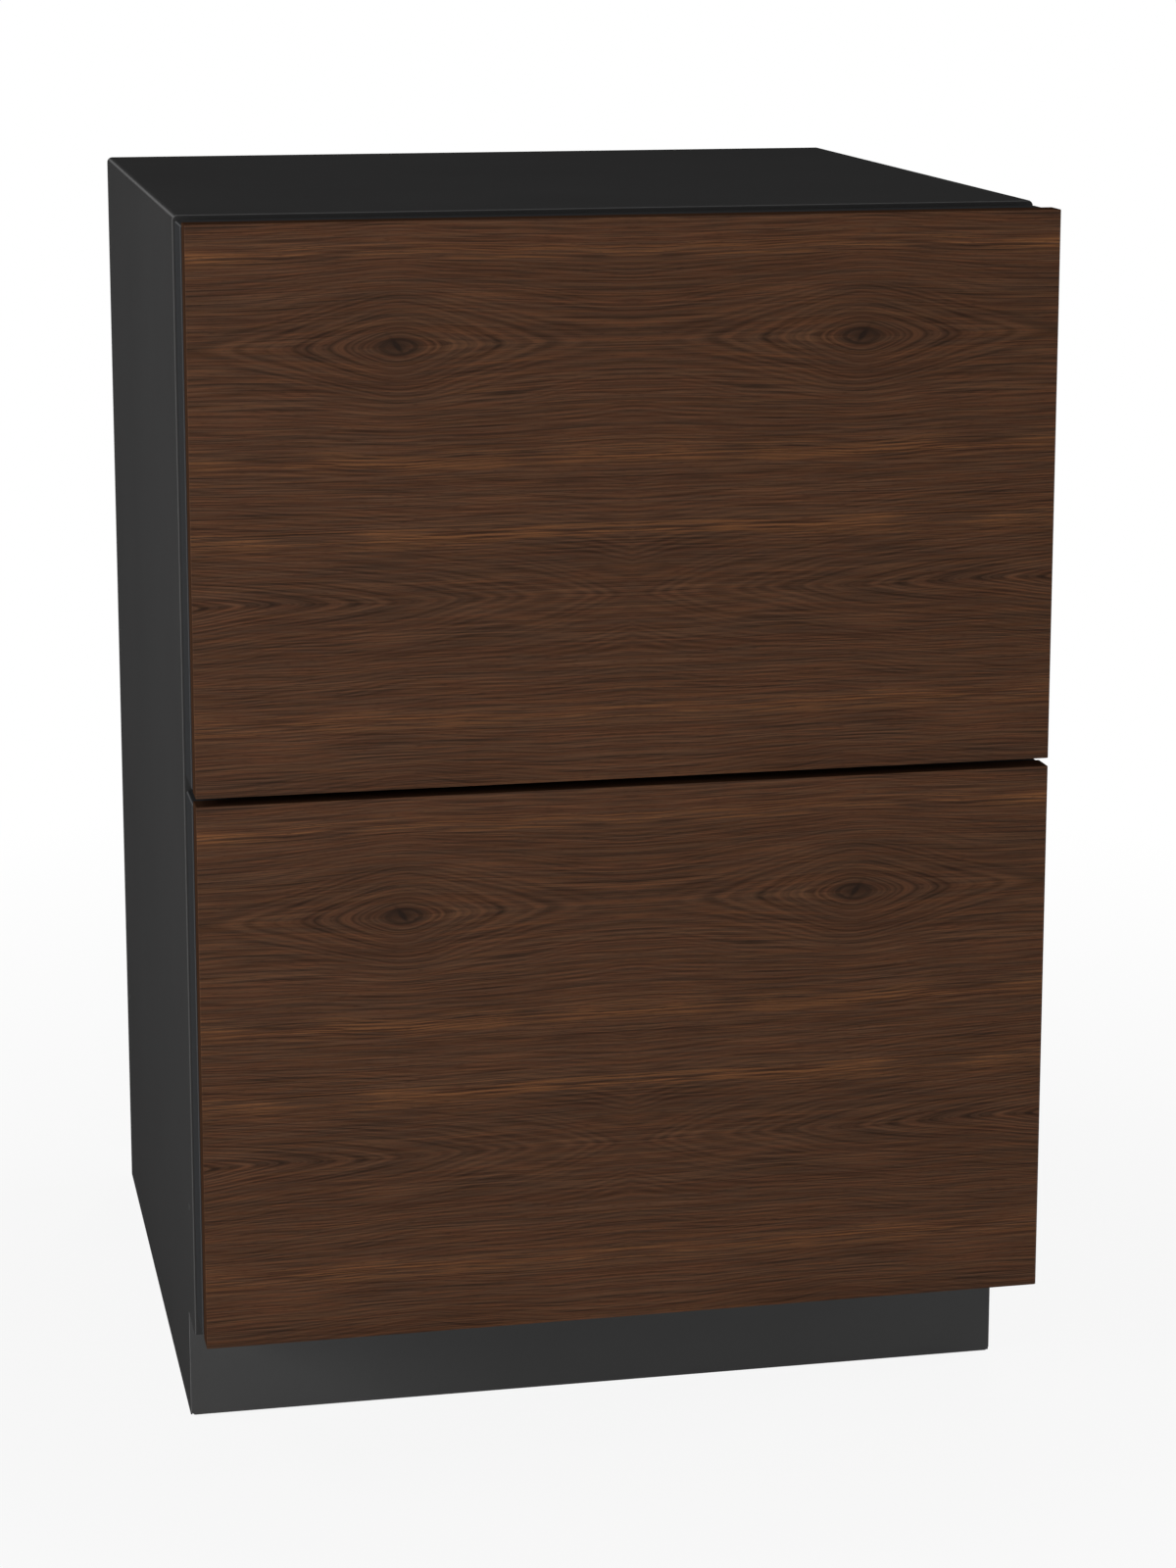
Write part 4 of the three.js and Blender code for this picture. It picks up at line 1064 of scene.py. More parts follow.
    def build(self) -> None:
        """Build the finish's nodes."""
        x, _, z = self.split(self.place)
        u = self.times(self.size(x), 1 / MM)
        drop = self.math("MODULO", self.minus(self.panel_top, z), self.panel_pitch)
        v = self.times(drop, 1 / MM)
        bent = self.plus(v, self.lift((u, v)))
        place = (u, self.fibre_place(u, bent))
        tone, fine = self.tone(place, bent, (u, v))
        colour = self.ramp(tone, (0.3, self.dark), (0.47, self.middle), (0.66, self.light))
        hue = self.plus(self.grain(place, Fibre(150.0, 3.0, 6.6)),
                         self.grain(place, Fibre(22.0, 1.5, 2.2)))
        red = self.times(self.remap(hue, 0.86, 1.16), 0.7)
        colour = self.mix(red, colour, self.tint, "MULTIPLY")
        shine = self.times(self.glow(place), self.glow_share)
        colour = self.mix(shine, colour, self.streak)
        colour = self.mix(self.knot_mask(u, v), colour, shade(self.dark, 0.62))
        pore = self.remap(self.grain(place, self.pores), 0.6, 0.74)
        colour = self.mix(self.times(pore, 0.5), colour, shade(self.dark, 0.7))
        self.bump(self.times_plus(pore, -0.8, fine), 0.35, 0.12 * MM)
        rough = self.remap(tone, 0.3, 0.7, 0.56, 0.46)
        self.fix(Base_Color=colour, Roughness=rough, Specular_IOR_Level=0.12)


@dataclass(frozen=True)
class EdgeBand(Finish):
    """Thin walnut band on the panels' edges, with the grain along each edge."""

    dark: Colour = (0.034, 0.0165, 0.0095)
    light: Colour = (0.095, 0.046, 0.026)

    def build(self) -> None:
        """Build the finish's nodes."""
        grain = self.noise(self.stretched(900.0, 900.0, 900.0))
        long_grain = self.noise(self.stretched(12.0, 1400.0, 12.0), 1.0, 3.0, 0.6)
        tone = self.blend(grain, long_grain, 0.25)
        self.bump(long_grain, 0.3, 0.1 * MM)
        self.fix(
            Base_Color=self.ramp(tone, (0.34, self.dark), (0.68, self.light)),
            Roughness=self.remap(tone, 0.3, 0.7, 0.52, 0.42), Specular_IOR_Level=0.0,
        )


@dataclass(frozen=True)
class SheetMetal(Finish):
    """Bare or plated sheet, with rolled streaks or spangles."""

    colour: Colour
    roughness: float
    streak: Point3
    spangle: float = 0.0
    streak_depth: float = 0.05
    darkest: float = 0.88
    lightest: float = 1.1
    rough_spread: float = 0.08

    def build(self) -> None:
        """Build the finish's nodes."""
        brushed = self.noise(self.stretched(*self.streak), 1.0, 3.0, 0.6)
        cloud = self.noise(self.place, 9.0, 4.0, 0.6)
        tone = self.blend(brushed, cloud, 0.6)
        if self.spangle > 0:
            tone = self.blend(tone, self.split(self.cells(self.spangle, "Color"))[0], 0.6)
        colour = self.ramp(
            tone, (0.25, shade(self.colour, self.darkest)), (0.5, self.colour),
            (0.75, shade(self.colour, self.lightest)),
        )
        low, high = self.roughness - self.rough_spread, self.roughness + self.rough_spread
        self.bump(brushed, self.streak_depth, 0.05 * MM)
        self.fix(Base_Color=colour, Roughness=self.remap(tone, 0.3, 0.7, low, high), Metallic=1.0)


@dataclass(frozen=True)
class Moulded(Finish):
    """Moulded or formed plastic with a fine grain in its skin."""

    colour: Colour
    roughness: float
    grain: float = 1200.0
    grain_depth: float = 0.2
    variation: float = 0.05
    through: float = 0.0

    def build(self) -> None:
        """Build the finish's nodes."""
        cloud = self.noise(self.place, 11.0, 3.0, 0.6)
        dark, light = shade(self.colour, 1 - self.variation), shade(self.colour, 1 + self.variation)
        rough = self.remap(cloud, 0.3, 0.7, self.roughness - 0.04, self.roughness + 0.05)
        self.bump(self.noise(self.place, self.grain), self.grain_depth, 0.08 * MM)
        self.fix(Base_Color=self.ramp(cloud, (0.3, dark), (0.7, light)), Roughness=rough)
        if self.through > 0:
            self.let_through(self.colour, self.through)


@dataclass(frozen=True)
class CellFoam(Finish):
    """Cut or moulded rigid foam with small cells."""

    colour: Colour

    def build(self) -> None:
        """Build the finish's nodes."""
        cell = self.cells(700.0, "Distance")
        self.bump(cell, 0.4, 0.3 * MM)
        # The colour darkens toward each cell's middle, where the bump sinks: painted shade in the
        # cell hollows.
        self.fix(
            Base_Color=self.ramp(cell, (0.0, shade(self.colour, 0.8)), (0.6, self.colour)),
            Roughness=self.remap(cell, 0.0, 0.7, 0.95, 0.8),
        )


@dataclass(frozen=True)
class PaleFloor(Finish):
    """Matte floor that shows white near the object and keeps its soft shadow."""

    tone: float = 0.86
    fade: Point2 = (0.5, 1.6)
    glow: Point2 = (0.9, 1.0)

    def build(self) -> None:
        """Build the floor's nodes."""
        self.nodes.clear()
        matte = self.add("ShaderNodeBsdfDiffuse", opaque((self.tone, self.tone, self.tone)))
        white = self.add("ShaderNodeEmission", opaque(WHITE), 1.0)
        away = self.add("ShaderNodeVectorMath", self.place, operation="LENGTH").outputs["Value"]
        share = self.times(self.white_rays(), self.remap(away, *self.fade, *self.glow))
        mixed = self.add("ShaderNodeMixShader", share, matte.outputs[0], white.outputs[0])
        self.add("ShaderNodeOutputMaterial", mixed.outputs[0])


@dataclass(frozen=True)
class Surroundings(Finish):
    """Soft light from all round, seen as white where nothing stands."""

    ambient: float = 0.06

    @cached_property
    def material(self) -> bpy.types.World:
        """Make the scene's world at its first use.

        Returns:
            The world, which holds these nodes in place of a material.
        """
        world = bpy.context.scene.world = bpy.data.worlds.new(self.name)
        world.use_nodes = True
        world.node_tree.nodes.clear()
        return world

    def build(self) -> None:
        """Build the world's nodes."""
        soft = self.add("ShaderNodeBackground")
        soft.inputs["Strength"].default_value = self.ambient
        white = self.add("ShaderNodeBackground", opaque(WHITE), 1.0)
        share = self.white_rays()
        mixed = self.add("ShaderNodeMixShader", share, soft.outputs[0], white.outputs[0])
        self.add("ShaderNodeOutputWorld", mixed.outputs[0])


class Palette:
    """Every finish, by the record's slot."""

    def __init__(self) -> None:
        """Make the materials."""
        upper, lower = Span.of("upper_wood_panel"), Span.of("lower_wood_panel")
        finishes = {
            Slot.CABINET: PowderCoat("powder_coat_cabinet", (0.059, 0.0585, 0.0585)),
            Slot.DOOR: PowderCoat("powder_coat_door", (0.046, 0.047, 0.049), 0.42),
            Slot.GALVANISED: SheetMetal(
                "galvanised_sheet", (0.42, 0.435, 0.45), 0.42, (3.0, 3.0, 120.0), 60.0
            ),
            Slot.WALNUT: WalnutVeneer("walnut_veneer", upper.high.z, upper.high.z - lower.high.z),
            Slot.FOAM: CellFoam("rigid_foam", (0.72, 0.63, 0.36)),
            Slot.LINER: Moulded("white_liner", (0.8, 0.81, 0.815), 0.32, 700.0, 0.15, 0.02),
            Slot.GASKET: Moulded("gasket_rubber", (0.02, 0.021, 0.022), 0.6, 2500.0, 0.3, 0.15),
            Slot.SLIDE: SheetMetal("zinc_plated", (0.56, 0.58, 0.6), 0.26, (900.0, 6.0, 900.0)),
            Slot.FRAME: SheetMetal("satin_stainless", (0.58, 0.59, 0.6), 0.3, (900.0, 8.0, 900.0)),
            Slot.BIN: Moulded("translucent_bin", (0.82, 0.86, 0.88), 0.2, 500.0, 0.08, 0.02, 0.3),
            Slot.FINS: SheetMetal("aluminium_fins", (0.66, 0.67, 0.68), 0.34, (300.0, 300.0, 30.0)),
            # The enamel's rounded edges also get a lighter base colour: a painted highlight.
            Slot.ENAMEL: PowderCoat(
                "black_enamel", (0.014, 0.014, 0.015), 0.3, peel=500.0, peel_depth=0.15,
                gloss=0.5, bend_coat=0.5, bend_painted_highlight=1.5,
            ),
            Slot.COPPER: SheetMetal("copper_tube", (0.72, 0.34, 0.2), 0.26, (40.0, 40.0, 40.0)),
            Slot.PLASTIC: Moulded("black_plastic", (0.017, 0.017, 0.018), 0.46, 1600.0, 0.35, 0.2),
            Slot.LENS: Moulded("opal_lens", (0.9, 0.92, 0.94), 0.18, 400.0, 0.1, 0.02),
        }
        self.materials = {slot: finish.make() for slot, finish in finishes.items()}
        self.edge_band = EdgeBand("walnut_edge_band").make()
        # A lighter copy of the cabinet's coat: painted light that lifts the toe kick out of the
        # shade under the drawers.
        self.painted_light_coat = PowderCoat("powder_coat_painted_light", (0.106, 0.1055, 0.1055)).make()

    def dress(self, made: Object, slot: Slot) -> None:
        """Give a new piece its slot's finish."""
        self.wear(made, self.materials[slot])

    @staticmethod
    def wear(made: Object, material: Material) -> None:
        """Give an object one material."""
        made.data.materials.clear()
        made.data.materials.append(material)

    def dress_frame(self) -> None:
        """Give every CAD node the finish of its slot in the record."""
        for row in frame["record"]["subparts"]:
            self.wear(frame["nodes"][row["node"]], self.materials[Slot(row["material_slot"])])


# ---- base of the sub-assemblies


@dataclass
class Assembly:
    """A sub-assembly that rides on one CAD body."""

    palette: Palette
    body: str

    def keep(self, made: Object, slot: Slot, *nodes: str, body: str = "") -> Object:
        """Dress a piece, let it ride, and hide the CAD nodes that it stands for.

        Args:
            made: the piece.
            slot: its finish.
            nodes: the CAD nodes that it stands for.
            body: the body that it rides on, where that isn't the assembly's own.

        Returns:
            The same piece.
        """
        self.palette.dress(made, slot)
        if made.type == "MESH":
            weigh_normals(made)
        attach(made, body or self.body)
        if nodes:
            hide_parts(*nodes)
        LOG.info("%s on %s", made.name, body or self.body)
        return made

    def formed(self, node: str, slot: Slot, width: float, steps: int = 2, body: str = "") -> Object:
        """Return a stand-in for a CAD node with the same shape and rounded edges."""
        return self.keep(formed_copy(node, width, steps), slot, body=body)


# ---- cabinet


@dataclass
class Cabinet(Assembly):
    """Steel shell with its front frame, back, toe kick and base."""

    sheet: float = 1.2 * MM
    top_bend: float = 4.0 * MM
    front_bend: float = 1.6 * MM
    front_steps: int = 6
    bend_steps: int = 8
    joint: float = 0.3 * MM
    kick_sheet: float = 1.5 * MM
    mouth_corner: float = 12.3 * MM
    mouth_steps: int = 6
    screw_radius: float = 3.6 * MM
    screw_height: float = 0.7 * MM
    screw_across: float = 9.0 * MM
    screw_up: float = 10.0 * MM
    plug_radius: float = 3.0 * MM
    plug_depth: float = 0.6 * MM
    plug_end: float = 25.0 * MM
    plug_height: float = 167.0 * MM
    back_flat: float = 0.75 * MM
    back_overlap: float = 2.5 * MM
    ribs: int = 5
    rib_rise: float = 3.0 * MM
    rib_margin: float = 44.0 * MM
    rib_gap: float = 28.0 * MM
    rib_end: float = 46.0 * MM
    rib_corner: float = 16.0 * MM

    def build(self) -> None:
        """Build every piece of the cabinet."""
        self.build_shell()
        self.build_toe_kick()
        self.build_back()
        self.build_machine_cover()
        self.formed("power_inlet", Slot.PLASTIC, 0.5 * MM)
        self.formed("base_frame", Slot.GALVANISED, 0.5 * MM)
        self.formed("bottom_deck", Slot.GALVANISED, 0.4 * MM)

    def outline(self, inset: float, low: float, span: Span, opening: float) -> list[Point2]:
        """Return the shell's section from its lower left edge over the top to its lower right.

        Args:
            inset: how far inside the shell's box.
            low: the height of the lower edges.
            span: the shell's box.
            opening: half the width of the front opening.

        Returns:
            (x, z) points.
        """
        left, right, top = span.low.x + inset, span.high.x - inset, span.high.z - inset
        radius = self.top_bend - inset
        points = [(left, low)]
        for turn in quarter(self.bend_steps):
            angle = math.pi - turn
            points.append((
                left + radius + radius * math.cos(angle), top - radius + radius * math.sin(angle)
            ))
        points += [(-opening, top), (opening, top)]
        points += [(left + right - x, z) for x, z in reversed(points[: self.bend_steps + 2])]
        return points

    def build_shell(self) -> None:
        """Build the bent steel shell with its front frame and rounded front edges."""
        span = Span.of("cabinet_wrapper")
        liner, deck, toe = Span.of("inner_liner"), Span.of("bottom_deck"), Span.of("toe_kick")
        half = liner.high.x + self.joint
        notch_top = deck.low.z - self.joint
        notch_y = toe.low.y + self.kick_sheet + self.joint
        radius = self.front_bend
        stations = [(0.0, span.high.y), (0.0, notch_y)]
        stations += [
            (radius * (1 - math.cos(turn)), span.low.y + radius * (1 - math.sin(turn)))
            for turn in quarter(self.front_steps)
        ]
        mesh = bmesh.new()
        rows = []
        for index, (inset, y) in enumerate(stations):
            low = span.low.z if index < 2 else notch_top
            section = self.outline(inset, low, span, half)
            rows.append([mesh.verts.new((x, y, z)) for x, z in section])
        self.join_rows(mesh, rows, notch_top)
        mouth = (liner.low.z - self.joint, liner.high.z + self.joint)
        self.close_front(mesh, rows[-1], half, notch_top, mouth)
        bmesh.ops.recalc_face_normals(mesh, faces=mesh.faces)
        top = max(mesh.faces, key=lambda face: face.calc_center_median().z)
        if top.normal.z < 0:
            bmesh.ops.reverse_faces(mesh, faces=mesh.faces)
        shell = piece("cabinet_shell", mesh, 50.0)
        thicken(shell, self.sheet)
        self.keep(shell, Slot.CABINET, "cabinet_wrapper")
        self.build_side_plugs(span)

    def join_rows(self, mesh: Mesh, rows: list[list[bmesh.types.BMVert]], notch_top: float) -> None:
        """Join the shell's sections, and leave the toe notch low at the front open.

        Args:
            mesh: the shell's mesh.
            rows: the points of each section, from the back to the front.
            notch_top: the height of the notch's upper edge.
        """
        rear, corner, front = rows[:3]
        left, right = (
            mesh.verts.new((end.co.x, end.co.y, notch_top)) for end in (corner[0], corner[-1])
        )
        for near, far in zip(rows, rows[1:]):
            for i in range(1, len(near) - 2):
                mesh.faces.new((near[i], near[i + 1], far[i + 1], far[i]))
        mesh.faces.new((rear[0], rear[1], corner[1], left, corner[0]))
        mesh.faces.new((rear[-1], rear[-2], corner[-2], right, corner[-1]))
        mesh.faces.new((left, corner[1], front[1], front[0]))
        mesh.faces.new((right, corner[-2], front[-2], front[-1]))
        for near, far in zip(rows[2:], rows[3:]):
            mesh.faces.new((near[0], near[1], far[1], far[0]))
            mesh.faces.new((near[-1], near[-2], far[-2], far[-1]))

    def close_front(self, mesh: Mesh, front: list[bmesh.types.BMVert], half: float, low: float,
                    opening: Point2) -> None:
        """Fill the front frame between the shell's front edge and the opening.

        Args:
            mesh: the shell's mesh.
            front: the shell's frontmost points.
            half: half the opening's width.
            low: the frame's lower edge.
            opening: the opening's lower and upper edge.
        """
        y = front[0].co.y

        def make(x: float, z: float) -> bmesh.types.BMVert:
            """Return a new point in the front plane."""
            return mesh.verts.new((x, y, z))

        bottom, top = opening
        floor = [make(-half, low), make(half, low)]
        square = [make(-half, bottom), make(half, bottom), make(half, top), make(-half, top)]
        ends = ((-half, bottom), (half, top))
        loop = [make(x, z) for x, z in rounded_loop(*ends, self.mouth_corner, self.mouth_steps)]
        count = self.mouth_steps + 1
        arcs = [loop[start : start + count] for start in range(0, 4 * count, count)]
        turn = self.bend_steps + 2
        mesh.faces.new((
            *front[:turn], front[turn], square[3], arcs[3][-1], arcs[0][0], square[0], floor[0]
        ))
        mesh.faces.new((
            *reversed(front[-turn:]), front[-turn - 1],
            square[2], arcs[2][0], arcs[1][-1], square[1], floor[1],
        ))
        mesh.faces.new((
            square[3], front[turn], front[-turn - 1], square[2], arcs[2][-1], arcs[3][0]
        ))
        mesh.faces.new((floor[0], square[0], arcs[0][-1], arcs[1][0], square[1], floor[1]))
        for corner, arc in zip(square, arcs):
            mesh.faces.new((corner, *arc))

    def build_side_plugs(self, span: Span) -> None:
        """Build the flush plugs over the holes for the anti-tip screws, low on each side.

        Args:
            span: the shell's box.
        """
        radius, depth = self.plug_radius, self.plug_depth
        profile = [
            (radius, 0.0), (radius, depth * 0.7),
            (radius * 0.8, depth + 0.05 * MM), (radius * 0.3, depth + 0.08 * MM),
        ]
        for side, name in ((-1, "left"), (1, "right")):
            seat = span.high.x * side - side * depth
            plug = piece(f"side_plugs_{name}", merge(
                turned(
                    [(r, side * h) for r, h in profile], Axis.X,
                    Vector((seat, y, span.low.z + self.plug_height)), 24,
                )
                for y in (span.low.y + self.plug_end, span.high.y - self.plug_end)
            ))
            self.keep(plug, Slot.CABINET)
            # The plugs wear the same lighter copy of the cabinet's coat.
            plug.data.materials[0] = self.palette.painted_light_coat

    def build_toe_kick(self) -> None:
        """Build the toe kick as a bent sheet with soft edges."""
        kick = self.formed("toe_kick", Slot.CABINET, 0.6 * MM, 3)
        # The toe kick wears the lighter coat: painted light against the shade under the drawers.
        kick.data.materials[0] = self.palette.painted_light_coat

    def build_back(self) -> None:
        """Build the pressed rear sheet with its ribs and border screws."""
        span = Span.of("back_panel")
        (left, low), (right, high) = span.face
        face, flat = span.high.y, span.high.y - self.back_flat
        plate = [(0.0, span.low.y), (0.0, flat - 0.2 * MM), (0.25 * MM, flat)]
        top = high + self.back_overlap
        parts = [framed((left, low), (right, top), 1.5 * MM, plate, segments=3)]
        rise, sink = self.rib_rise, 0.12 * MM
        press = [
            (0.0, flat - 0.1 * MM), (rise * 0.35, flat + sink), (rise * 0.75, face - sink),
            (rise, face),
        ]
        pitch = (span.size.x - 2 * self.rib_margin) / self.ribs
        for rib in range(self.ribs):
            x0 = left + self.rib_margin + pitch * rib + self.rib_gap / 2
            x1 = x0 + pitch - self.rib_gap
            parts.append(framed(
                (x0, low + self.rib_end), (x1, high - self.rib_end), self.rib_corner, press
            ))
        self.keep(piece("rear_sheet", merge(parts), 30.0), Slot.GALVANISED, "back_panel")
        xs = spaced(left + self.screw_across, right - self.screw_across, 5)
        upright = spaced(low + 14 * MM, high - 14 * MM, 6)
        places = [(x, flat, z) for z in upright for x in (xs[0], xs[-1])]
        level = (low + self.screw_up, high - self.screw_up)
        places += [(x, flat, z) for x in xs[1:-1] for z in level]
        heads = screws(places, (0, 1, 0), self.screw_radius, face - flat)
        self.keep(piece("rear_sheet_screws", heads), Slot.SLIDE)

    def build_machine_cover(self) -> None:
        """Build the louvred plate over the machine compartment, with its screws."""
        span = Span.of("machine_cover")
        (left, low), (right, high) = span.face
        cover = MachineCover(span, Span.of("power_inlet"), self.joint)
        plate = piece("machine_cover_sheet", cover.mesh(), 30.0)
        self.keep(plate, Slot.GALVANISED, "machine_cover")
        places = [
            (x, span.high.y - self.screw_height, z)
            for x in spaced(left + self.screw_across, right - self.screw_across, 5)
            for z in (low + self.screw_up, high - self.screw_up)
        ]
        heads = screws(places, (0, 1, 0), self.screw_radius, self.screw_height)
        self.keep(piece("machine_cover_screws", heads), Slot.SLIDE)


@dataclass
class MachineCover:
    """Pressed plate with two banks of louvres and a hole for the power inlet."""

    span: Span
    inlet: Span
    gap: float
    rows: int = 9
    slot_width: float = 200 * MM
    slot_height: float = 6 * MM
    middle_gap: float = 24 * MM
    first_row: float = 60 * MM
    last_row: float = 16 * MM
    hood: float = 5.0 * MM
    blade: float = 0.8 * MM

    @property
    def hole(self) -> tuple[Point2, Point2]:
        """Return the lower left and upper right corner of the inlet's hole."""
        (left, low), (right, high) = self.inlet.face
        return (left - self.gap, low - self.gap), (right + self.gap, high + self.gap)

    def lines(self) -> tuple[list[float], list[float]]:
        """Find the lines that cut the plate into cells.

        Returns:
            Their x and z values.
        """
        corners = [*self.span.face, *self.hole]
        xs, zs = {x for x, _ in corners}, {z for _, z in corners}
        for side in (-1, 1):
            xs |= {side * self.middle_gap, side * (self.middle_gap + self.slot_width)}
            zs |= {z + side * self.slot_height / 2 for z in self.row_heights()}
        return sorted(xs), sorted(zs)

    def row_heights(self) -> list[float]:
        """Return the middle height of each row of slots."""
        start, end = self.span.low.z + self.first_row, self.span.high.z - self.last_row
        return [start + (row + 0.5) * (end - start) / self.rows for row in range(self.rows)]

    def is_open(self, x: float, z: float) -> bool:
        """Tell whether a place in the plate is cut away.

        Args:
            x: the place across.
            z: its height.

        Returns:
            True in a slot or in the inlet's hole.
        """
        (left, low), (right, high) = self.hole
        in_bank = self.middle_gap < abs(x) < self.middle_gap + self.slot_width
        in_row = any(abs(z - row) < self.slot_height / 2 for row in self.row_heights())
        return (left < x < right and low < z < high) or (in_bank and in_row)

    def mesh(self) -> Mesh:
        """Build the plate and its louvre hoods.

        Returns:
            The mesh.
        """
        xs, zs = self.lines()
        y0, y1 = self.span.low.y, self.span.high.y
        plate = bmesh.new()
        grid = {
            (i, k): plate.verts.new((x, y1, z)) for i, x in enumerate(xs) for k, z in enumerate(zs)
        }
        for i in range(len(xs) - 1):
            for k in range(len(zs) - 1):
                if not self.is_open((xs[i] + xs[i + 1]) / 2, (zs[k] + zs[k + 1]) / 2):
                    cell = ((i, k), (i, k + 1), (i + 1, k + 1), (i + 1, k))
                    plate.faces.new([grid[corner] for corner in cell])
        loose = [vertex for vertex in plate.verts if not vertex.link_faces]
        bmesh.ops.delete(plate, geom=loose, context="VERTS")
        bmesh.ops.solidify(plate, geom=plate.faces[:], thickness=y1 - y0)
        bmesh.ops.recalc_face_normals(plate, faces=plate.faces)
        hoods = [self.hood_mesh(side, z) for side in (-1, 1) for z in self.row_heights()]
        return merge([plate, *hoods])

    def hood_mesh(self, side: int, z: float) -> Mesh:
        """Return one louvre: a blade that leans inward from the slot's upper edge.

        Args:
            side: -1 for the left bank, 1 for the right one.
            z: the middle height of the slot.

        Returns:
            The mesh.
        """
        ends = sorted(side * end for end in (self.middle_gap, self.middle_gap + self.slot_width))
        height, top = self.slot_height, z + self.slot_height / 2
        y0, y1 = self.span.low.y, self.span.high.y
        section = [
            (y0, top), (y1 - 0.05 * MM, top + 0.3 * MM), (y1 - 0.1 * MM, top - 0.5 * MM),
            (y0 - self.hood * 0.5, top - height * 0.45), (y0 - self.hood, top - height * 0.95),
            (y0 - self.hood - self.blade, top - height * 0.85),
            (y0 - self.hood * 0.5, top - height * 0.25),
        ]
        return drawn(section, Axis.X, *ends)


# ---- drawer fronts


@dataclass
class DrawerFront(Assembly):
    """Wood panel, steel pan, inner liner and gasket of one drawer."""

    name: str = "upper"
    edge: float = 0.7 * MM
    panel_corner: float = 0.8 * MM
    pan_front: float = 1.2 * MM
    pan_rear: float = 2.2 * MM
    pan_corner: float = 2.0 * MM
    pan_sheet: float = 1.0 * MM
    pan_lip: float = 8.0 * MM
    hem: float = 14.0 * MM
    face_wall: float = 2.0 * MM
    face_draft: float = 1.5 * MM
    face_flange: float = 3.0 * MM
    plug_corner: float = 14.0 * MM
    plug_side: float = 11.0 * MM
    plug_room: float = 9.0 * MM
    seal_corner: float = 1.5 * MM

    def node(self, part: str) -> str:
        """Return the CAD name of one of this drawer's parts."""
        return f"{self.name}_{part}"

    def build(self) -> None:
        """Build the drawer front's pieces."""
        self.build_panel()
        self.build_pan()
        self.build_inner_face()
        self.build_gasket()

    def build_panel(self) -> None:
        """Build the veneered panel, with a band of straight grain round its edges."""
        span = Span.of(self.node("wood_panel"))
        y0, y1 = span.low.y, span.high.y
        profile = [(3 * MM, y0), *edge_round(y0, self.edge, 1)]
        profile += edge_round(y1, self.edge, -1)
        mesh = framed(*span.face, self.panel_corner, profile, segments=4)
        panel = piece(self.node("veneered_panel"), mesh, 50.0)
        self.keep(panel, Slot.WALNUT, self.node("wood_panel"))
        panel.data.materials.append(self.palette.edge_band)
        facing_out = -0.6
        for polygon in panel.data.polygons:
            if polygon.normal.y > facing_out:
                polygon.material_index = 1

    def build_pan(self) -> None:
        """Build the steel pan behind the wood, with rounded front and rear edges and a hem."""
        span = Span.of(self.node("door_pan"))
        y0, y1, sheet = span.low.y, span.high.y, self.pan_sheet
        inner = self.pan_rear - sheet
        profile = [(self.pan_lip, y0), *edge_round(y0, self.pan_front, 1)]
        profile += edge_round(y1, self.pan_rear, -1, 6)
        profile += [(self.hem, y1), (self.hem, y1 - sheet), (self.pan_rear, y1 - sheet)]
        profile += [
            (sheet + inner * (1 - math.sin(turn)), y1 - sheet - inner * (1 - math.cos(turn)))
            for turn in quarter(3)[1:]
        ]
        profile += [(sheet, y0 + sheet), (self.pan_lip, y0 + sheet)]
        mesh = framed(*span.face, self.pan_corner, profile)
        self.keep(piece(self.node("steel_pan"), mesh, 50.0), Slot.DOOR, self.node("door_pan"))

    def build_inner_face(self) -> None:
        """Build the moulded inner face of the door with its plug and a recessed field."""
        span = Span.of(self.node("door_liner"))
        y0, y1, wall = span.low.y, span.high.y, self.face_wall
        y_flange = y0 + self.face_flange
        root = metres([(-4, 0), (-1.5, 0.6), (-0.4, 2.2)])
        crown = metres([(0.9, -5), (2.1, -2), (3.9, -0.5), (6.5, 0)])
        field = metres([(30, 0), (31.2, -0.3), (32.6, -1.3), (34, -1.6)])
        skin = [(inset, y_flange + y) for inset, y in root]
        skin += [(inset, y1 + y) for inset, y in crown + field]
        inside = [(inset + wall, y - wall) for inset, y in skin]
        plug = framed(*self.opening(), self.plug_corner, [*reversed(skin), *inside], segments=8)
        mesh = merge([self.flange(span, y0, y_flange), plug])
        self.keep(piece(self.node("inner_face"), mesh), Slot.LINER, self.node("door_liner"))

    def opening(self) -> tuple[Point2, Point2]:
        """Find the room that the plug has in the cabinet's opening.

        Returns:
            The plug's lower left and upper right corner.
        """
        liner, mullion = Span.of("inner_liner"), Span.of("centre_mullion")
        half = liner.high.x - self.plug_side
        if self.name == "upper":
            low, high = mullion.high.z + self.plug_room, liner.high.z - self.plug_side
        else:
            low, high = liner.low.z + self.plug_side, mullion.low.z - self.plug_room
        return (-half, low), (half, high)

    def flange(self, span: Span, y0: float, y1: float) -> Mesh:
        """Return the flat flange round the plug.

        Args:
            span: the inner face's box.
            y0: the flange's front.
            y1: its rear.

        Returns:
            The mesh.
        """
        draft = self.face_draft
        outer = rounded_loop(*span.face, 1 * MM, 8)
        inner = rounded_loop(*self.opening(), self.plug_corner - draft, 8, draft, draft)
        rings = ((outer, y0), (outer, y1), (inner, y1), (inner, y0))
        return loft([[Axis.Y.place(u, v, y) for u, v in loop] for loop, y in rings], True)

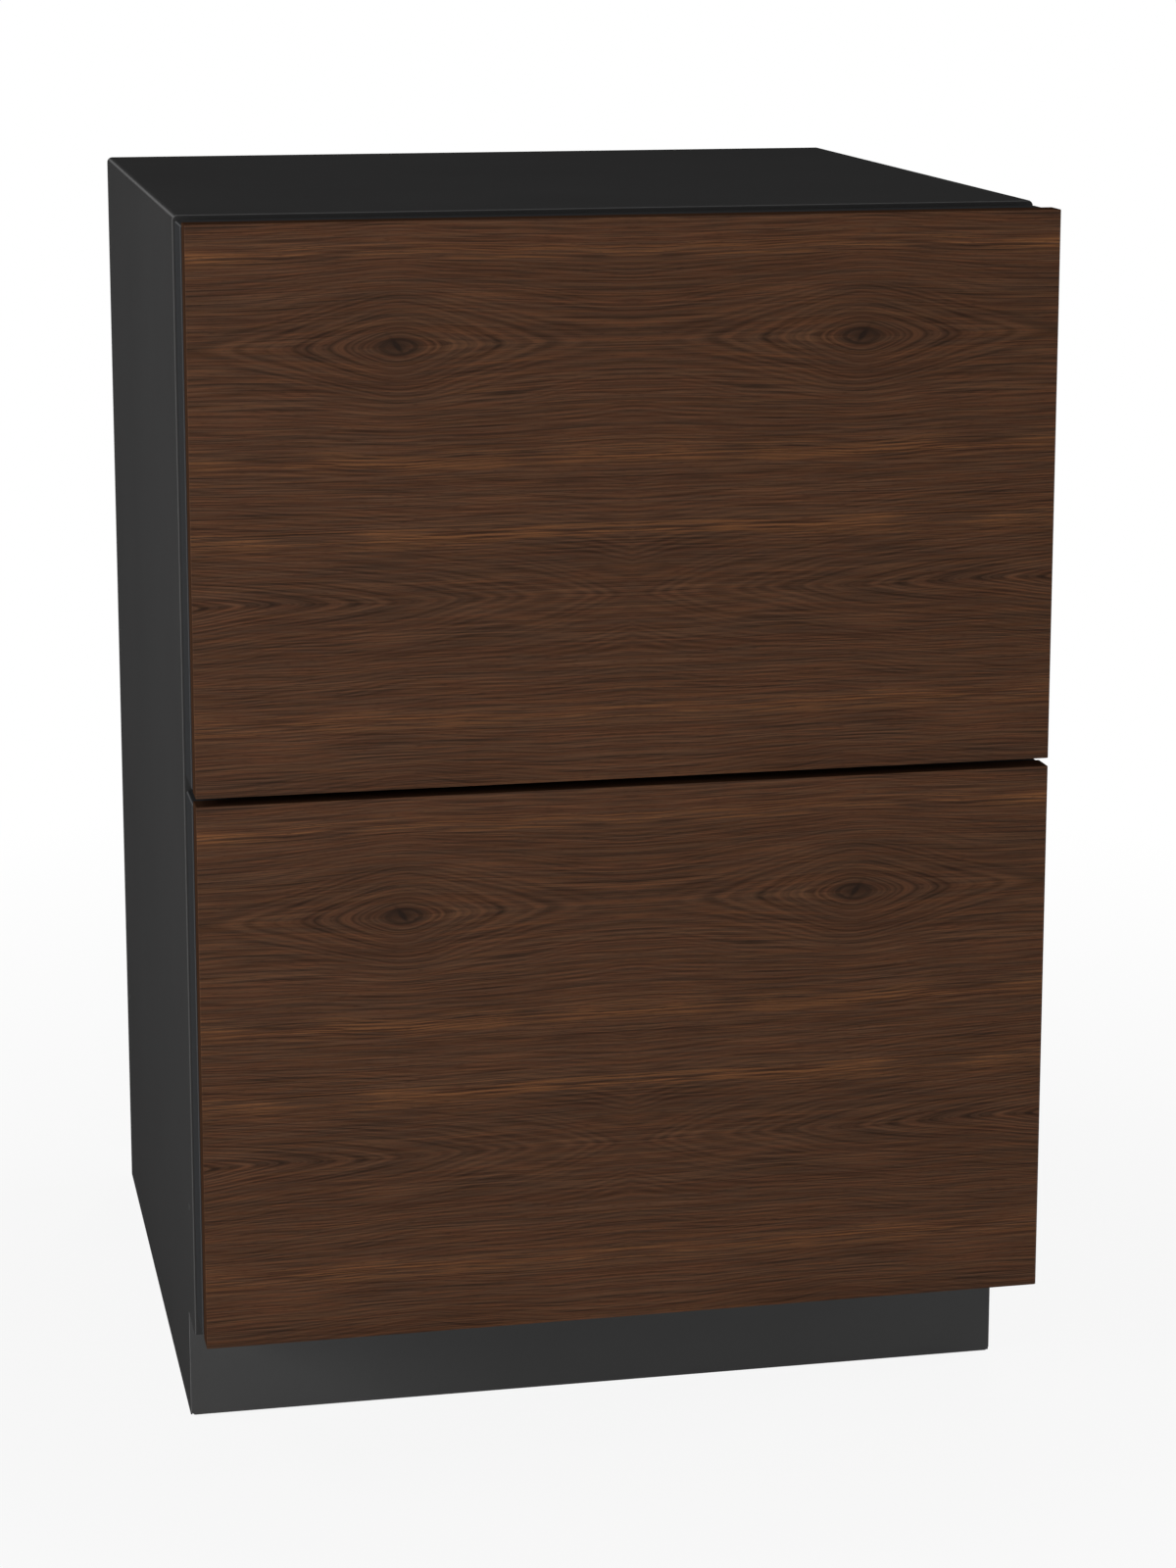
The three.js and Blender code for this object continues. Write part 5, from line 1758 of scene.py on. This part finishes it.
    def build_gasket(self) -> None:
        """Build the magnetic seal: a foot, a folded bellows and a magnet pocket with a lip."""
        span = Span.of(self.node("door_gasket"))
        folds = (
            (0.6, 0), (0, 0.12), (0.2, 0.26), (2.2, 0.38), (1.9, 0.48), (0.3, 0.6), (0, 0.74),
            (0.25, 0.9), (0.9, 1), (8.8, 1), (10.6, 0.92), (11, 0.78), (10.3, 0.55), (9, 0.42),
            (10.4, 0.26), (10.6, 0.1), (9.8, 0),
        )
        profile = [(inset * MM, span.low.y + span.size.y * share) for inset, share in folds]
        mesh = framed(*span.face, self.seal_corner, profile, wrap=True, segments=4)
        gasket = piece(self.node("bellows_gasket"), mesh, 60.0)
        self.keep(gasket, Slot.GASKET, self.node("door_gasket"))


# ---- inside of the cabinet


@dataclass
class InnerCabinet(Assembly):
    """Moulded liner, the bar between the openings, the air cover, the light and the touch strip."""

    corner: float = 10.0 * MM
    wall: float = 2.0 * MM
    hump_height: float = 40.6 * MM
    hump_depth: float = 150.8 * MM
    screw_radius: float = 4.0 * MM
    screw_height: float = 1.2 * MM
    screw_across: float = 14.0 * MM
    screw_up: float = 40.0 * MM
    slope_rise: float = 5.6 * MM
    slope_depth: float = 32.0 * MM
    window_width: float = 192.0 * MM
    window_depth: float = 22.0 * MM
    window_corner: float = 4.0 * MM
    dot_height: float = 0.4 * MM
    dot_places: tuple[float, ...] = (-72.0, -48.0, -24.0, 24.0, 48.0, 72.0)

    def build(self) -> None:
        """Build every piece of the inside."""
        self.build_liner()
        self.build_air_cover()
        self.build_touch_strip()
        self.formed("centre_mullion", Slot.DOOR, 0.7 * MM)
        self.formed("light_lens", Slot.LENS, 1.0 * MM, 3)
        self.formed("evaporator_fan_motor", Slot.PLASTIC, 1.0 * MM)
        self.formed("evaporator_fan", Slot.LINER, 0.5 * MM, body="evaporator_fan")

    def build_liner(self) -> None:
        """Build the liner's skin with rounded corners, a hump at the rear and a rounded mouth."""
        span, wall = Span.of("inner_liner"), self.wall
        front, rear = span.low.y, span.high.y - wall
        floor, ceiling = span.low.z + wall, span.high.z - wall
        shelf = Span.of("bottom_deck").high.z + self.hump_height
        step = Span.of("evaporator_cover").low.y - self.hump_depth
        outline = [
            (front, floor), (step, floor), (step, shelf), (rear, shelf), (rear, ceiling),
            (front, ceiling),
        ]
        mouth = Vector((0.0, front, (floor + ceiling) / 2))
        mesh = open_box(outline, span.high.x - wall, mouth, self.corner)
        bmesh.ops.reverse_faces(mesh, faces=mesh.faces)
        liner = piece("moulded_liner", mesh, 50.0)
        thicken(liner, wall)
        self.keep(liner, Slot.LINER, "inner_liner")

    def build_air_cover(self) -> None:
        """Build the air duct cover with a raised ring round its fan grille, and its screws."""
        self.formed("evaporator_cover", Slot.LINER, 0.9 * MM, 3)
        span, fan = Span.of("evaporator_cover"), Span.of("evaporator_fan")
        centre = Vector((0.0, span.low.y, fan.middle.z))
        ring = [(60.5, 0.0), (60.9, -1.2), (62.0, -2.0), (65.0, -2.0), (66.2, -1.2), (66.6, 0.0)]
        mesh = turned(metres(ring), Axis.Y, centre, 72, wrap=True)
        self.keep(piece("fan_grille_ring", mesh), Slot.LINER)
        places = [
            (x, span.low.y, z)
            for x in (span.low.x + self.screw_across, span.high.x - self.screw_across)
            for z in (span.low.z + self.screw_up, span.high.z - self.screw_up)
        ]
        heads = screws(places, (0, -1, 0), self.screw_radius, self.screw_height)
        self.keep(piece("air_cover_screws", heads), Slot.LINER)

    def build_touch_strip(self) -> None:
        """Build the touch strip with a gloss window and its row of light dots."""
        self.formed("control_panel", Slot.PLASTIC, 0.8 * MM, 3)
        span = Span.of("control_panel")
        nose = Vector((0, span.low.y, span.high.z - self.slope_rise))
        tail = Vector((0, span.low.y + self.slope_depth, span.low.z))
        slope = (tail - nose).normalized()
        out = Vector((0, slope.z, -slope.y))
        middle = (nose + tail) / 2
        high = (self.window_width / 2, self.window_depth / 2)
        low = (-high[0], -high[1])
        rings = []
        for inset, height in metres([(0.0, -0.2), (0.0, 0.25), (0.3, 0.45)]):
            loop = rounded_loop(low, high, self.window_corner, 5, inset, inset)
            rings.append([middle + Vector((u, 0, 0)) + slope * v + out * height for u, v in loop])
        self.keep(piece("touch_window", loft(rings)), Slot.ENAMEL)
        seat = middle + out * self.dot_height
        dots = merge(self.light_dot(seat + Vector((x * MM, 0, 0)), out) for x in self.dot_places)
        self.keep(piece("touch_lights", dots), Slot.LENS)

    def light_dot(self, centre: Vector, out: Vector) -> Mesh:
        """Build one small light dot.

        Args:
            centre: the middle of its seat.
            out: the direction that it faces.

        Returns:
            The mesh.
        """
        turn = out.to_track_quat("Z", "Y").to_matrix()
        return loft([
            [centre + turn @ Vector((r * math.cos(a), r * math.sin(a), h)) for a in circle(16)]
            for r, h in metres([(1.1, 0.0), (1.0, 0.2), (0.5, 0.35)])
        ])


# ---- machine compartment


@dataclass
class Machinery(Assembly):
    """Compressor, condenser with its fan, refrigerant lines, drain tray and control box."""

    edges: tuple[tuple[str, Slot, float], ...] = (
        ("terminal_box", Slot.PLASTIC, 1.2 * MM),
        ("fan_shroud", Slot.PLASTIC, 0.6 * MM),
        ("condenser_fan_motor", Slot.PLASTIC, 0.8 * MM),
        ("drain_tray", Slot.PLASTIC, 0.7 * MM),
        ("control_box", Slot.PLASTIC, 1.0 * MM),
    )
    shell_radius: float = 66.0 * MM
    shell_dome: float = 26.0 * MM
    shell_lift: float = 14.0 * MM
    seam_share: float = 0.46
    foot_across: float = 64.0 * MM
    foot_half: float = 16.0 * MM
    plate_half: float = 52.0 * MM
    plate_lift: float = 8.0 * MM
    plate_edge: float = 1.2 * MM
    fins: int = 44
    fin_sheet: float = 0.5 * MM
    end_sheet: float = 1.5 * MM
    runs: int = 6
    tube_radius: float = 4.0 * MM
    tube_turn: float = 7.0 * MM

    def build(self) -> None:
        """Build every piece of the machine compartment."""
        for node, slot, width in self.edges:
            self.formed(node, slot, width)
        self.formed("condenser_fan", Slot.PLASTIC, 0.5 * MM, body="condenser_fan")
        self.build_compressor()
        self.build_condenser()
        self.build_drier()

    def build_compressor(self) -> None:
        """Build the compressor's smooth shell with its seam, feet and mounts."""
        span = Span.of("compressor")
        centre = Vector((span.middle.x, span.middle.y, 0.0))
        feet = [centre.x + side * self.foot_across for side in (-1, 1)]
        low, edge, half = span.low.z + self.plate_lift, self.plate_edge, self.foot_half
        parts = [turned(self.shell_profile(span), Axis.Z, centre, 64)]
        parts += [
            block((x - half, span.low.y, low), (x + half, span.high.y, low + 3 * MM), edge)
            for x in feet
        ]
        parts.append(block(
            (centre.x - self.plate_half, span.low.y + 30 * MM, low),
            (centre.x + self.plate_half, span.high.y - 30 * MM, low + 6.5 * MM), edge,
        ))
        self.keep(piece("compressor_shell", merge(parts)), Slot.ENAMEL, "compressor")
        rubber = metres([(7.5, 0), (9, 0.8), (9, 3), (7, 4), (7, 5), (9, 6), (9, 7.6), (6, 8)])
        mounts = merge(
            turned(rubber, Axis.Z, Vector((x, y, span.low.z)), 28)
            for x in feet
            for y in (span.low.y + 14 * MM, span.high.y - 14 * MM)
        )
        self.keep(piece("compressor_mounts", mounts), Slot.GASKET)

    def shell_profile(self, span: Span) -> list[Point2]:
        """Find the compressor shell's outline: two domes with a rolled seam between them.

        Args:
            span: the compressor's box.

        Returns:
            (radius, height) points from the lowest one up.
        """
        low, high = span.low.z + self.shell_lift, span.high.z
        radius, dome = self.shell_radius, self.shell_dome
        seam = low + (high - low) * self.seam_share
        profile = [
            (radius * math.sin(turn), low + dome * (1 - math.cos(turn))) for turn in quarter(8)
        ]
        profile += [
            (radius, seam - 3 * MM), (radius + 2.4 * MM, seam - 2.2 * MM), (radius + 3 * MM, seam),
            (radius + 2.4 * MM, seam + 2.2 * MM), (radius, seam + 3 * MM),
        ]
        profile += [
            (radius * math.cos(turn), high - dome * (1 - math.sin(turn))) for turn in quarter(8)
        ]
        narrowest = 0.4 * MM
        return [(max(reach, narrowest), height) for reach, height in profile]

    def build_condenser(self) -> None:
        """Build the finned coil with its tube bends and end plates."""
        span, half = Span.of("condenser"), self.fin_sheet / 2
        low, high, side, rim = span.low, span.high, 2 * MM, 3 * MM
        parts = [
            block((low.x + side, y - half, low.z + rim), (high.x - side, y + half, high.z - rim))
            for y in spaced(low.y + 6 * MM, high.y - 6 * MM, self.fins)
        ]
        parts += [
            block((low.x, y, low.z), (high.x, y + self.end_sheet, high.z), 0.5 * MM)
            for y in (low.y, high.y - self.end_sheet)
        ]
        self.keep(piece("condenser_fins", merge(parts)), Slot.FINS, "condenser")
        ends = (low.y + 8 * MM, high.y - 8 * MM)
        for column, x in enumerate((low.x + 15 * MM, high.x - 15 * MM)):
            points = []
            for row, z in enumerate(spaced(low.z + 20 * MM, high.z - 20 * MM, self.runs)):
                order = reversed(ends) if row % 2 else ends
                points += [Vector((x, y, z)) for y in order]
            coil = tube(f"condenser_tube_{column}", points, self.tube_radius, self.tube_turn)
            self.keep(coil, Slot.COPPER)

    def build_drier(self) -> None:
        """Build the filter drier with drawn-down ends."""
        span = Span.of("filter_drier")
        centre = Vector((span.middle.x, span.middle.y, 0.0))
        radius = span.size.x / 2
        end = metres([(3.4, 0), (4.2, 1), (4.4, 4)])
        end += [(radius - 1 * MM, 11 * MM), (radius, 14 * MM)]
        profile = [(reach, span.low.z + height) for reach, height in end]
        profile += [(reach, span.high.z - height) for reach, height in reversed(end)]
        body = piece("drier_body", turned(profile, Axis.Z, centre, 40))
        self.keep(body, Slot.COPPER, "filter_drier")


# ---- feet


@dataclass
class Foot(Assembly):
    """One levelling foot: a moulded pad with grip notches, a hexagon and a threaded stem."""

    notches: int = 12
    notch_points: int = 8
    notch_depth: float = 0.035
    pitch: float = 2.0 * MM
    hexagon: float = 8.2 * MM
    nut_low: float = 11.4 * MM
    nut_high: float = 11.9 * MM
    core: float = 4.4 * MM
    thread_root: float = 4.5 * MM
    thread_crest: float = 5.0 * MM
    thread_low: float = 14.0 * MM
    plain_end: float = 3.0 * MM

    def build(self) -> None:
        """Build the foot's pad and stem."""
        span = Span.of(self.body)
        centre = Vector((span.middle.x, span.middle.y, 0.0))
        self.keep(self.build_pad(centre, span.size.x / 2), Slot.PLASTIC, self.body)
        self.keep(self.build_stem(centre, span.high.z), Slot.SLIDE)

    def build_pad(self, centre: Vector, radius: float) -> Object:
        """Build the round pad with notches round its edge.

        Args:
            centre: the foot's axis.
            radius: the pad's radius.

        Returns:
            The pad.
        """
        steps = [
            (0.9, 0, 0), (0.965, 0.4, 0.3), (1, 1.5, 1), (1, 5.8, 1), (0.965, 7, 0.6),
            (0.9, 7.5, 0), (0.62, 7.5, 0), (0.56, 8.2, 0), (0.5, 10.6, 0), (0.42, 11.4, 0),
        ]
        rings = []
        for share, height, notched in steps:
            ring = []
            for angle in circle(self.notches * self.notch_points):
                wave = (0.5 - 0.5 * math.cos(self.notches * angle)) ** 2
                reach = radius * (share - notched * self.notch_depth * wave)
                place = (reach * math.cos(angle), reach * math.sin(angle), height * MM)
                ring.append(centre + Vector(place))
            rings.append(ring)
        return piece(f"{self.body}_pad", loft(rings), 50.0)

    def build_stem(self, centre: Vector, top: float) -> Object:
        """Build the stem: a hexagon over the pad and a thread up to its top.

        Args:
            centre: the foot's axis.
            top: the stem's upper end.

        Returns:
            The stem.
        """
        outline = [
            (centre.x + self.hexagon * math.cos(a), centre.y + self.hexagon * math.sin(a))
            for a in circle(6)
        ]
        nut = drawn(outline, Axis.Z, self.nut_low, self.nut_high, 0.2 * MM)
        profile = [(self.core, 8 * MM), (self.core, self.thread_low)]
        height, pitch = self.thread_low, self.pitch
        while height < top - self.plain_end:
            profile += [
                (self.thread_root, height + pitch * 0.1), (self.thread_crest, height + pitch * 0.5),
                (self.thread_crest, height + pitch * 0.6),
            ]
            height += pitch
        profile += [(self.thread_root, top - 1 * MM), (3.6 * MM, top)]
        thread = turned(profile, Axis.Z, centre, 24)
        return piece(f"{self.body}_stem", merge([nut, thread]))


# ---- telescopic slides


@dataclass
class SlideSet(Assembly):
    """Left and right telescopic slides of one drawer."""

    name: str = "upper"
    bend: float = 0.5 * MM
    sheet: float = 1.2 * MM
    lever_gap: float = 1.3 * MM
    lever_sheet: float = 2.4 * MM

    def build(self) -> None:
        """Build both slides, member by member."""
        middles, drawer = f"{self.name}_slide_middles", f"{self.name}_drawer"
        for hand, side in (("left", -1), ("right", 1)):
            self.formed(f"{self.name}_slide_outer_{hand}", Slot.SLIDE, self.bend)
            self.formed(f"{self.name}_slide_middle_{hand}", Slot.SLIDE, self.bend, body=middles)
            self.formed(f"{self.name}_slide_inner_{hand}", Slot.SLIDE, self.bend, body=drawer)
            self.build_screws(hand, side)
            self.build_rivets(hand, side, middles)
            self.build_lever(hand, side, drawer)

    def build_screws(self, hand: str, side: int) -> None:
        """Build the screws that hold the outer member to the liner.

        Args:
            hand: left or right.
            side: -1 or 1.
        """
        span = Span.of(f"{self.name}_slide_outer_{hand}")
        seat = span.side_face(side) - side * self.sheet
        along = (span.low.y + 22 * MM, span.middle.y, span.high.y - 30 * MM)
        heads = screws([(seat, y, span.middle.z) for y in along], (-side, 0, 0), 4 * MM, 1.5 * MM)
        self.keep(piece(f"{self.name}_slide_screws_{hand}", heads), Slot.FRAME)

    def build_rivets(self, hand: str, side: int, body: str) -> None:
        """Build the rivets and end stops on the middle member.

        Args:
            hand: left or right.
            side: -1 or 1.
            body: the CAD body of the middle members.
        """
        span = Span.of(f"{self.name}_slide_middle_{hand}")
        seat = span.side_face(side) - side * self.sheet
        dome = metres((r, -side * h) for r, h in ((3.2, 0.0), (3.2, 0.35), (2.6, 0.8), (1.2, 1.0)))
        rivets = merge(
            turned(dome, Axis.X, Vector((seat, y, span.middle.z + z)), 20)
            for y in (span.low.y + 12 * MM, span.high.y - 12 * MM)
            for z in (-9 * MM, 9 * MM)
        )
        self.keep(piece(f"{self.name}_slide_rivets_{hand}", rivets), Slot.SLIDE, body=body)

    def build_lever(self, hand: str, side: int, body: str) -> None:
        """Build the release lever in the inner member.

        Args:
            hand: left or right.
            side: -1 or 1.
            body: the CAD body that the inner member belongs to.
        """
        span = Span.of(f"{self.name}_slide_inner_{hand}")
        web = span.side_face(-side) + side * self.lever_gap
        front, middle = span.low.y + 60 * MM, span.middle.z
        shape = metres([(0, -4), (52, -3), (60, -9), (66, -8), (58, 3), (4, 4)])
        outline = [(front + y, middle + z) for y, z in shape]
        ends = sorted((web, web + side * self.lever_sheet))
        lever = drawn(outline, Axis.X, *ends, 0.5 * MM)
        self.keep(piece(f"{self.name}_slide_lever_{hand}", lever), Slot.PLASTIC, body=body)


# ---- bins


@dataclass
class BinUnit(Assembly):
    """Steel frame, bin and sliding divider of one drawer."""

    name: str = "upper"
    wall: float = 2.5 * MM
    floor_corner: float = 14.0 * MM
    hump_height: float = 56.6 * MM
    hump_depth: float = 166.8 * MM
    hump_least: float = 20.0 * MM
    rim_height: float = 2.5 * MM
    rim_overhang: float = 6.8 * MM
    rim_reach: float = 9.0 * MM
    rim_reach_ends: float = 2.3 * MM
    rim_corner: float = 14.0 * MM
    rim_inner_corner: float = 6.0 * MM

    def build(self) -> None:
        """Build the unit's pieces."""
        self.build_frame()
        self.build_bin()
        self.build_rim()
        self.formed(f"{self.name}_bin_divider", Slot.BIN, 0.7 * MM, 3, body=f"{self.name}_divider")

    def build_frame(self) -> None:
        """Build the bin's steel frame with two rubber buffers behind it."""
        node = f"{self.name}_bin_frame"
        self.formed(node, Slot.FRAME, 0.45 * MM)
        span = Span.of(node)
        rubber = metres([(8, 0.0), (8, 1.5), (6.5, 2.4), (6, 5), (4, 6.2)])
        buffers = merge(
            turned(rubber, Axis.Y, Vector((x, span.high.y, span.high.z - 20 * MM)), 32)
            for x in (span.low.x + 60 * MM, span.high.x - 60 * MM)
        )
        self.keep(piece(f"{self.name}_buffers", buffers), Slot.GASKET)

    def outline(self, span: Span) -> list[Point2]:
        """Find the bin's side outline; the lower one steps up over the hump.

        Args:
            span: the bin's box.

        Returns:
            (y, z) points.
        """
        front, rear, floor, top = span.low.y, span.high.y, span.low.z, span.high.z
        shelf = Span.of("bottom_deck").high.z + self.hump_height
        points = [(front, top), (front, floor)]
        if floor < shelf - self.hump_least:
            step = Span.of("evaporator_cover").low.y - self.hump_depth
            points += [(step, floor), (step, shelf), (rear, shelf)]
        else:
            points.append((rear, floor))
        return [*points, (rear, top)]

    def build_bin(self) -> None:
        """Build the bin as a thin shell with rounded corners."""
        node = f"{self.name}_bin"
        span = Span.of(node)
        mouth = Vector((0.0, span.middle.y, span.high.z))
        half = span.high.x - self.rim_overhang
        mesh = open_box(self.outline(span), half, mouth, self.floor_corner)
        bmesh.ops.recalc_face_normals(mesh, faces=mesh.faces)
        bottom = min(mesh.faces, key=lambda face: face.calc_center_median().z)
        if bottom.normal.z > 0:
            bmesh.ops.reverse_faces(mesh, faces=mesh.faces)
        shell = piece(f"{node}_shell", mesh, 50.0)
        thicken(shell, self.wall)
        self.keep(shell, Slot.BIN, node)

    def build_rim(self) -> None:
        """Build the bin's rolled rim, which is wide at the sides and narrow at the ends."""
        node = f"{self.name}_bin"
        span, reach = Span.of(node), self.rim_reach
        top, low = span.high.z, span.high.z - self.rim_height
        profile = [
            (0.3 * MM, low), (0.0, low + 0.4 * MM), (0.0, top - 0.8 * MM), (0.8 * MM, top),
            (reach - 0.6 * MM, top), (reach, top - 0.5 * MM), (reach, low),
        ]
        rings = []
        for inset, z in profile:
            end = min(inset, self.rim_reach_ends)
            corner = max(self.rim_corner - inset, self.rim_inner_corner)
            loop = rounded_loop(span.low.xy, span.high.xy, corner, 6, inset, end)
            rings.append([Vector((u, v, z)) for u, v in loop])
        self.keep(piece(f"{node}_rim", loft(rings, True), 50.0), Slot.BIN)


# ---- studio


@dataclass
class Lamp:
    """One soft square lamp."""

    name: str
    place: Point3
    aim: Point3
    size: float
    power: float

    def light(self) -> None:
        """Add the lamp to the scene."""
        data = bpy.data.lights.new(self.name, "AREA")
        data.shape = "SQUARE"
        data.size = self.size
        data.energy = self.power
        lamp = bpy.data.objects.new(self.name, data)
        bpy.context.scene.collection.objects.link(lamp)
        lamp.location = self.place
        direction = Vector(self.aim) - Vector(self.place)
        lamp.rotation_euler = direction.to_track_quat("-Z", "Y").to_euler()


@dataclass
class Studio:
    """Camera, lamps, pale floor and white surroundings."""

    camera_place: Point3 = (-0.52629, -2.72127, 1.0869)
    camera_yaw: float = 11.6481
    camera_pitch: float = 10.7648
    lens: float = 84.0705
    sensor: float = 36.0
    shift: float = -0.12
    far_limit: float = 60.0
    floor_radius: float = 14.0
    lamps: tuple[Lamp, ...] = (
        Lamp("key_left", (-3.6, -1.9, 1.5), (0.0, 0.0, 0.42), 1.8, 69.0),
        Lamp("low_front", (-0.8, -3.4, 0.35), (0.0, 0.0, 0.2), 1.2, 15.0),
        Lamp("fill_right", (3.0, -2.6, 1.3), (0.0, 0.0, 0.45), 1.8, 8.0),
        Lamp("upper_left", (-2.3, 0.4, 2.8), (0.0, 0.0, 0.6), 0.9, 13.0),
        Lamp("overhead", (0.6, 0.0, 3.2), (0.0, 0.0, 0.5), 2.2, 11.0),
        Lamp("rim_behind", (-0.8, 3.6, 1.15), (-0.1, 0.0, 0.85), 0.35, 0.14),
        Lamp("side_right", (3.4, 0.5, 0.7), (0.0, 0.0, 0.45), 1.1, 40.0),
        Lamp("rear", (1.3, 3.4, 0.5), (0.0, 0.0, 0.45), 0.8, 42.0),
    )

    def build(self) -> None:
        """Build the surroundings."""
        self.place_camera()
        for lamp in self.lamps:
            lamp.light()
        Surroundings("studio").make()
        self.lay_floor()
        bpy.context.scene.view_settings.view_transform = "Standard"

    def place_camera(self) -> None:
        """Put the camera where the photograph was taken from."""
        data = bpy.data.cameras.new("camera")
        data.lens = self.lens
        data.sensor_width = self.sensor
        data.sensor_fit = "AUTO"
        data.shift_y = self.shift
        data.clip_end = self.far_limit
        camera = bpy.data.objects.new("camera", data)
        bpy.context.scene.collection.objects.link(camera)
        camera.location = self.camera_place
        tilt, yaw = math.radians(90.0 - self.camera_pitch), math.radians(-self.camera_yaw)
        camera.rotation_euler = (tilt, 0.0, yaw)
        bpy.context.scene.camera = camera

    def lay_floor(self) -> None:
        """Lay a wide pale floor."""
        mesh = bmesh.new()
        bmesh.ops.create_circle(mesh, cap_ends=True, segments=96, radius=self.floor_radius)
        floor = piece("floor", mesh)
        floor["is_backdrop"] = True
        floor.data.materials.append(PaleFloor("pale_floor").make())


def write_sizes() -> None:
    """Put the CAD box and the visual model's box side by side, without keeping them."""
    as_lists = lambda bounds: [list(corner) for corner in bounds]
    {"cad": as_lists(CAD_BOUNDS), "visual": as_lists(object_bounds())}


def main() -> None:
    """Build the scene."""
    logging.basicConfig(level=logging.INFO, format="%(name)s: %(message)s")
    Studio().build()
    palette = Palette()
    palette.dress_frame()
    Cabinet(palette, "cabinet").build()
    InnerCabinet(palette, "cabinet").build()
    Machinery(palette, "cabinet").build()
    for place in ("front_left", "front_right", "rear_left", "rear_right"):
        Foot(palette, f"foot_{place}").build()
    for name in ("upper", "lower"):
        DrawerFront(palette, f"{name}_drawer", name=name).build()
        SlideSet(palette, "cabinet", name=name).build()
        BinUnit(palette, f"{name}_drawer", name=name).build()
    write_sizes()


if __name__ == "__main__":
    main()
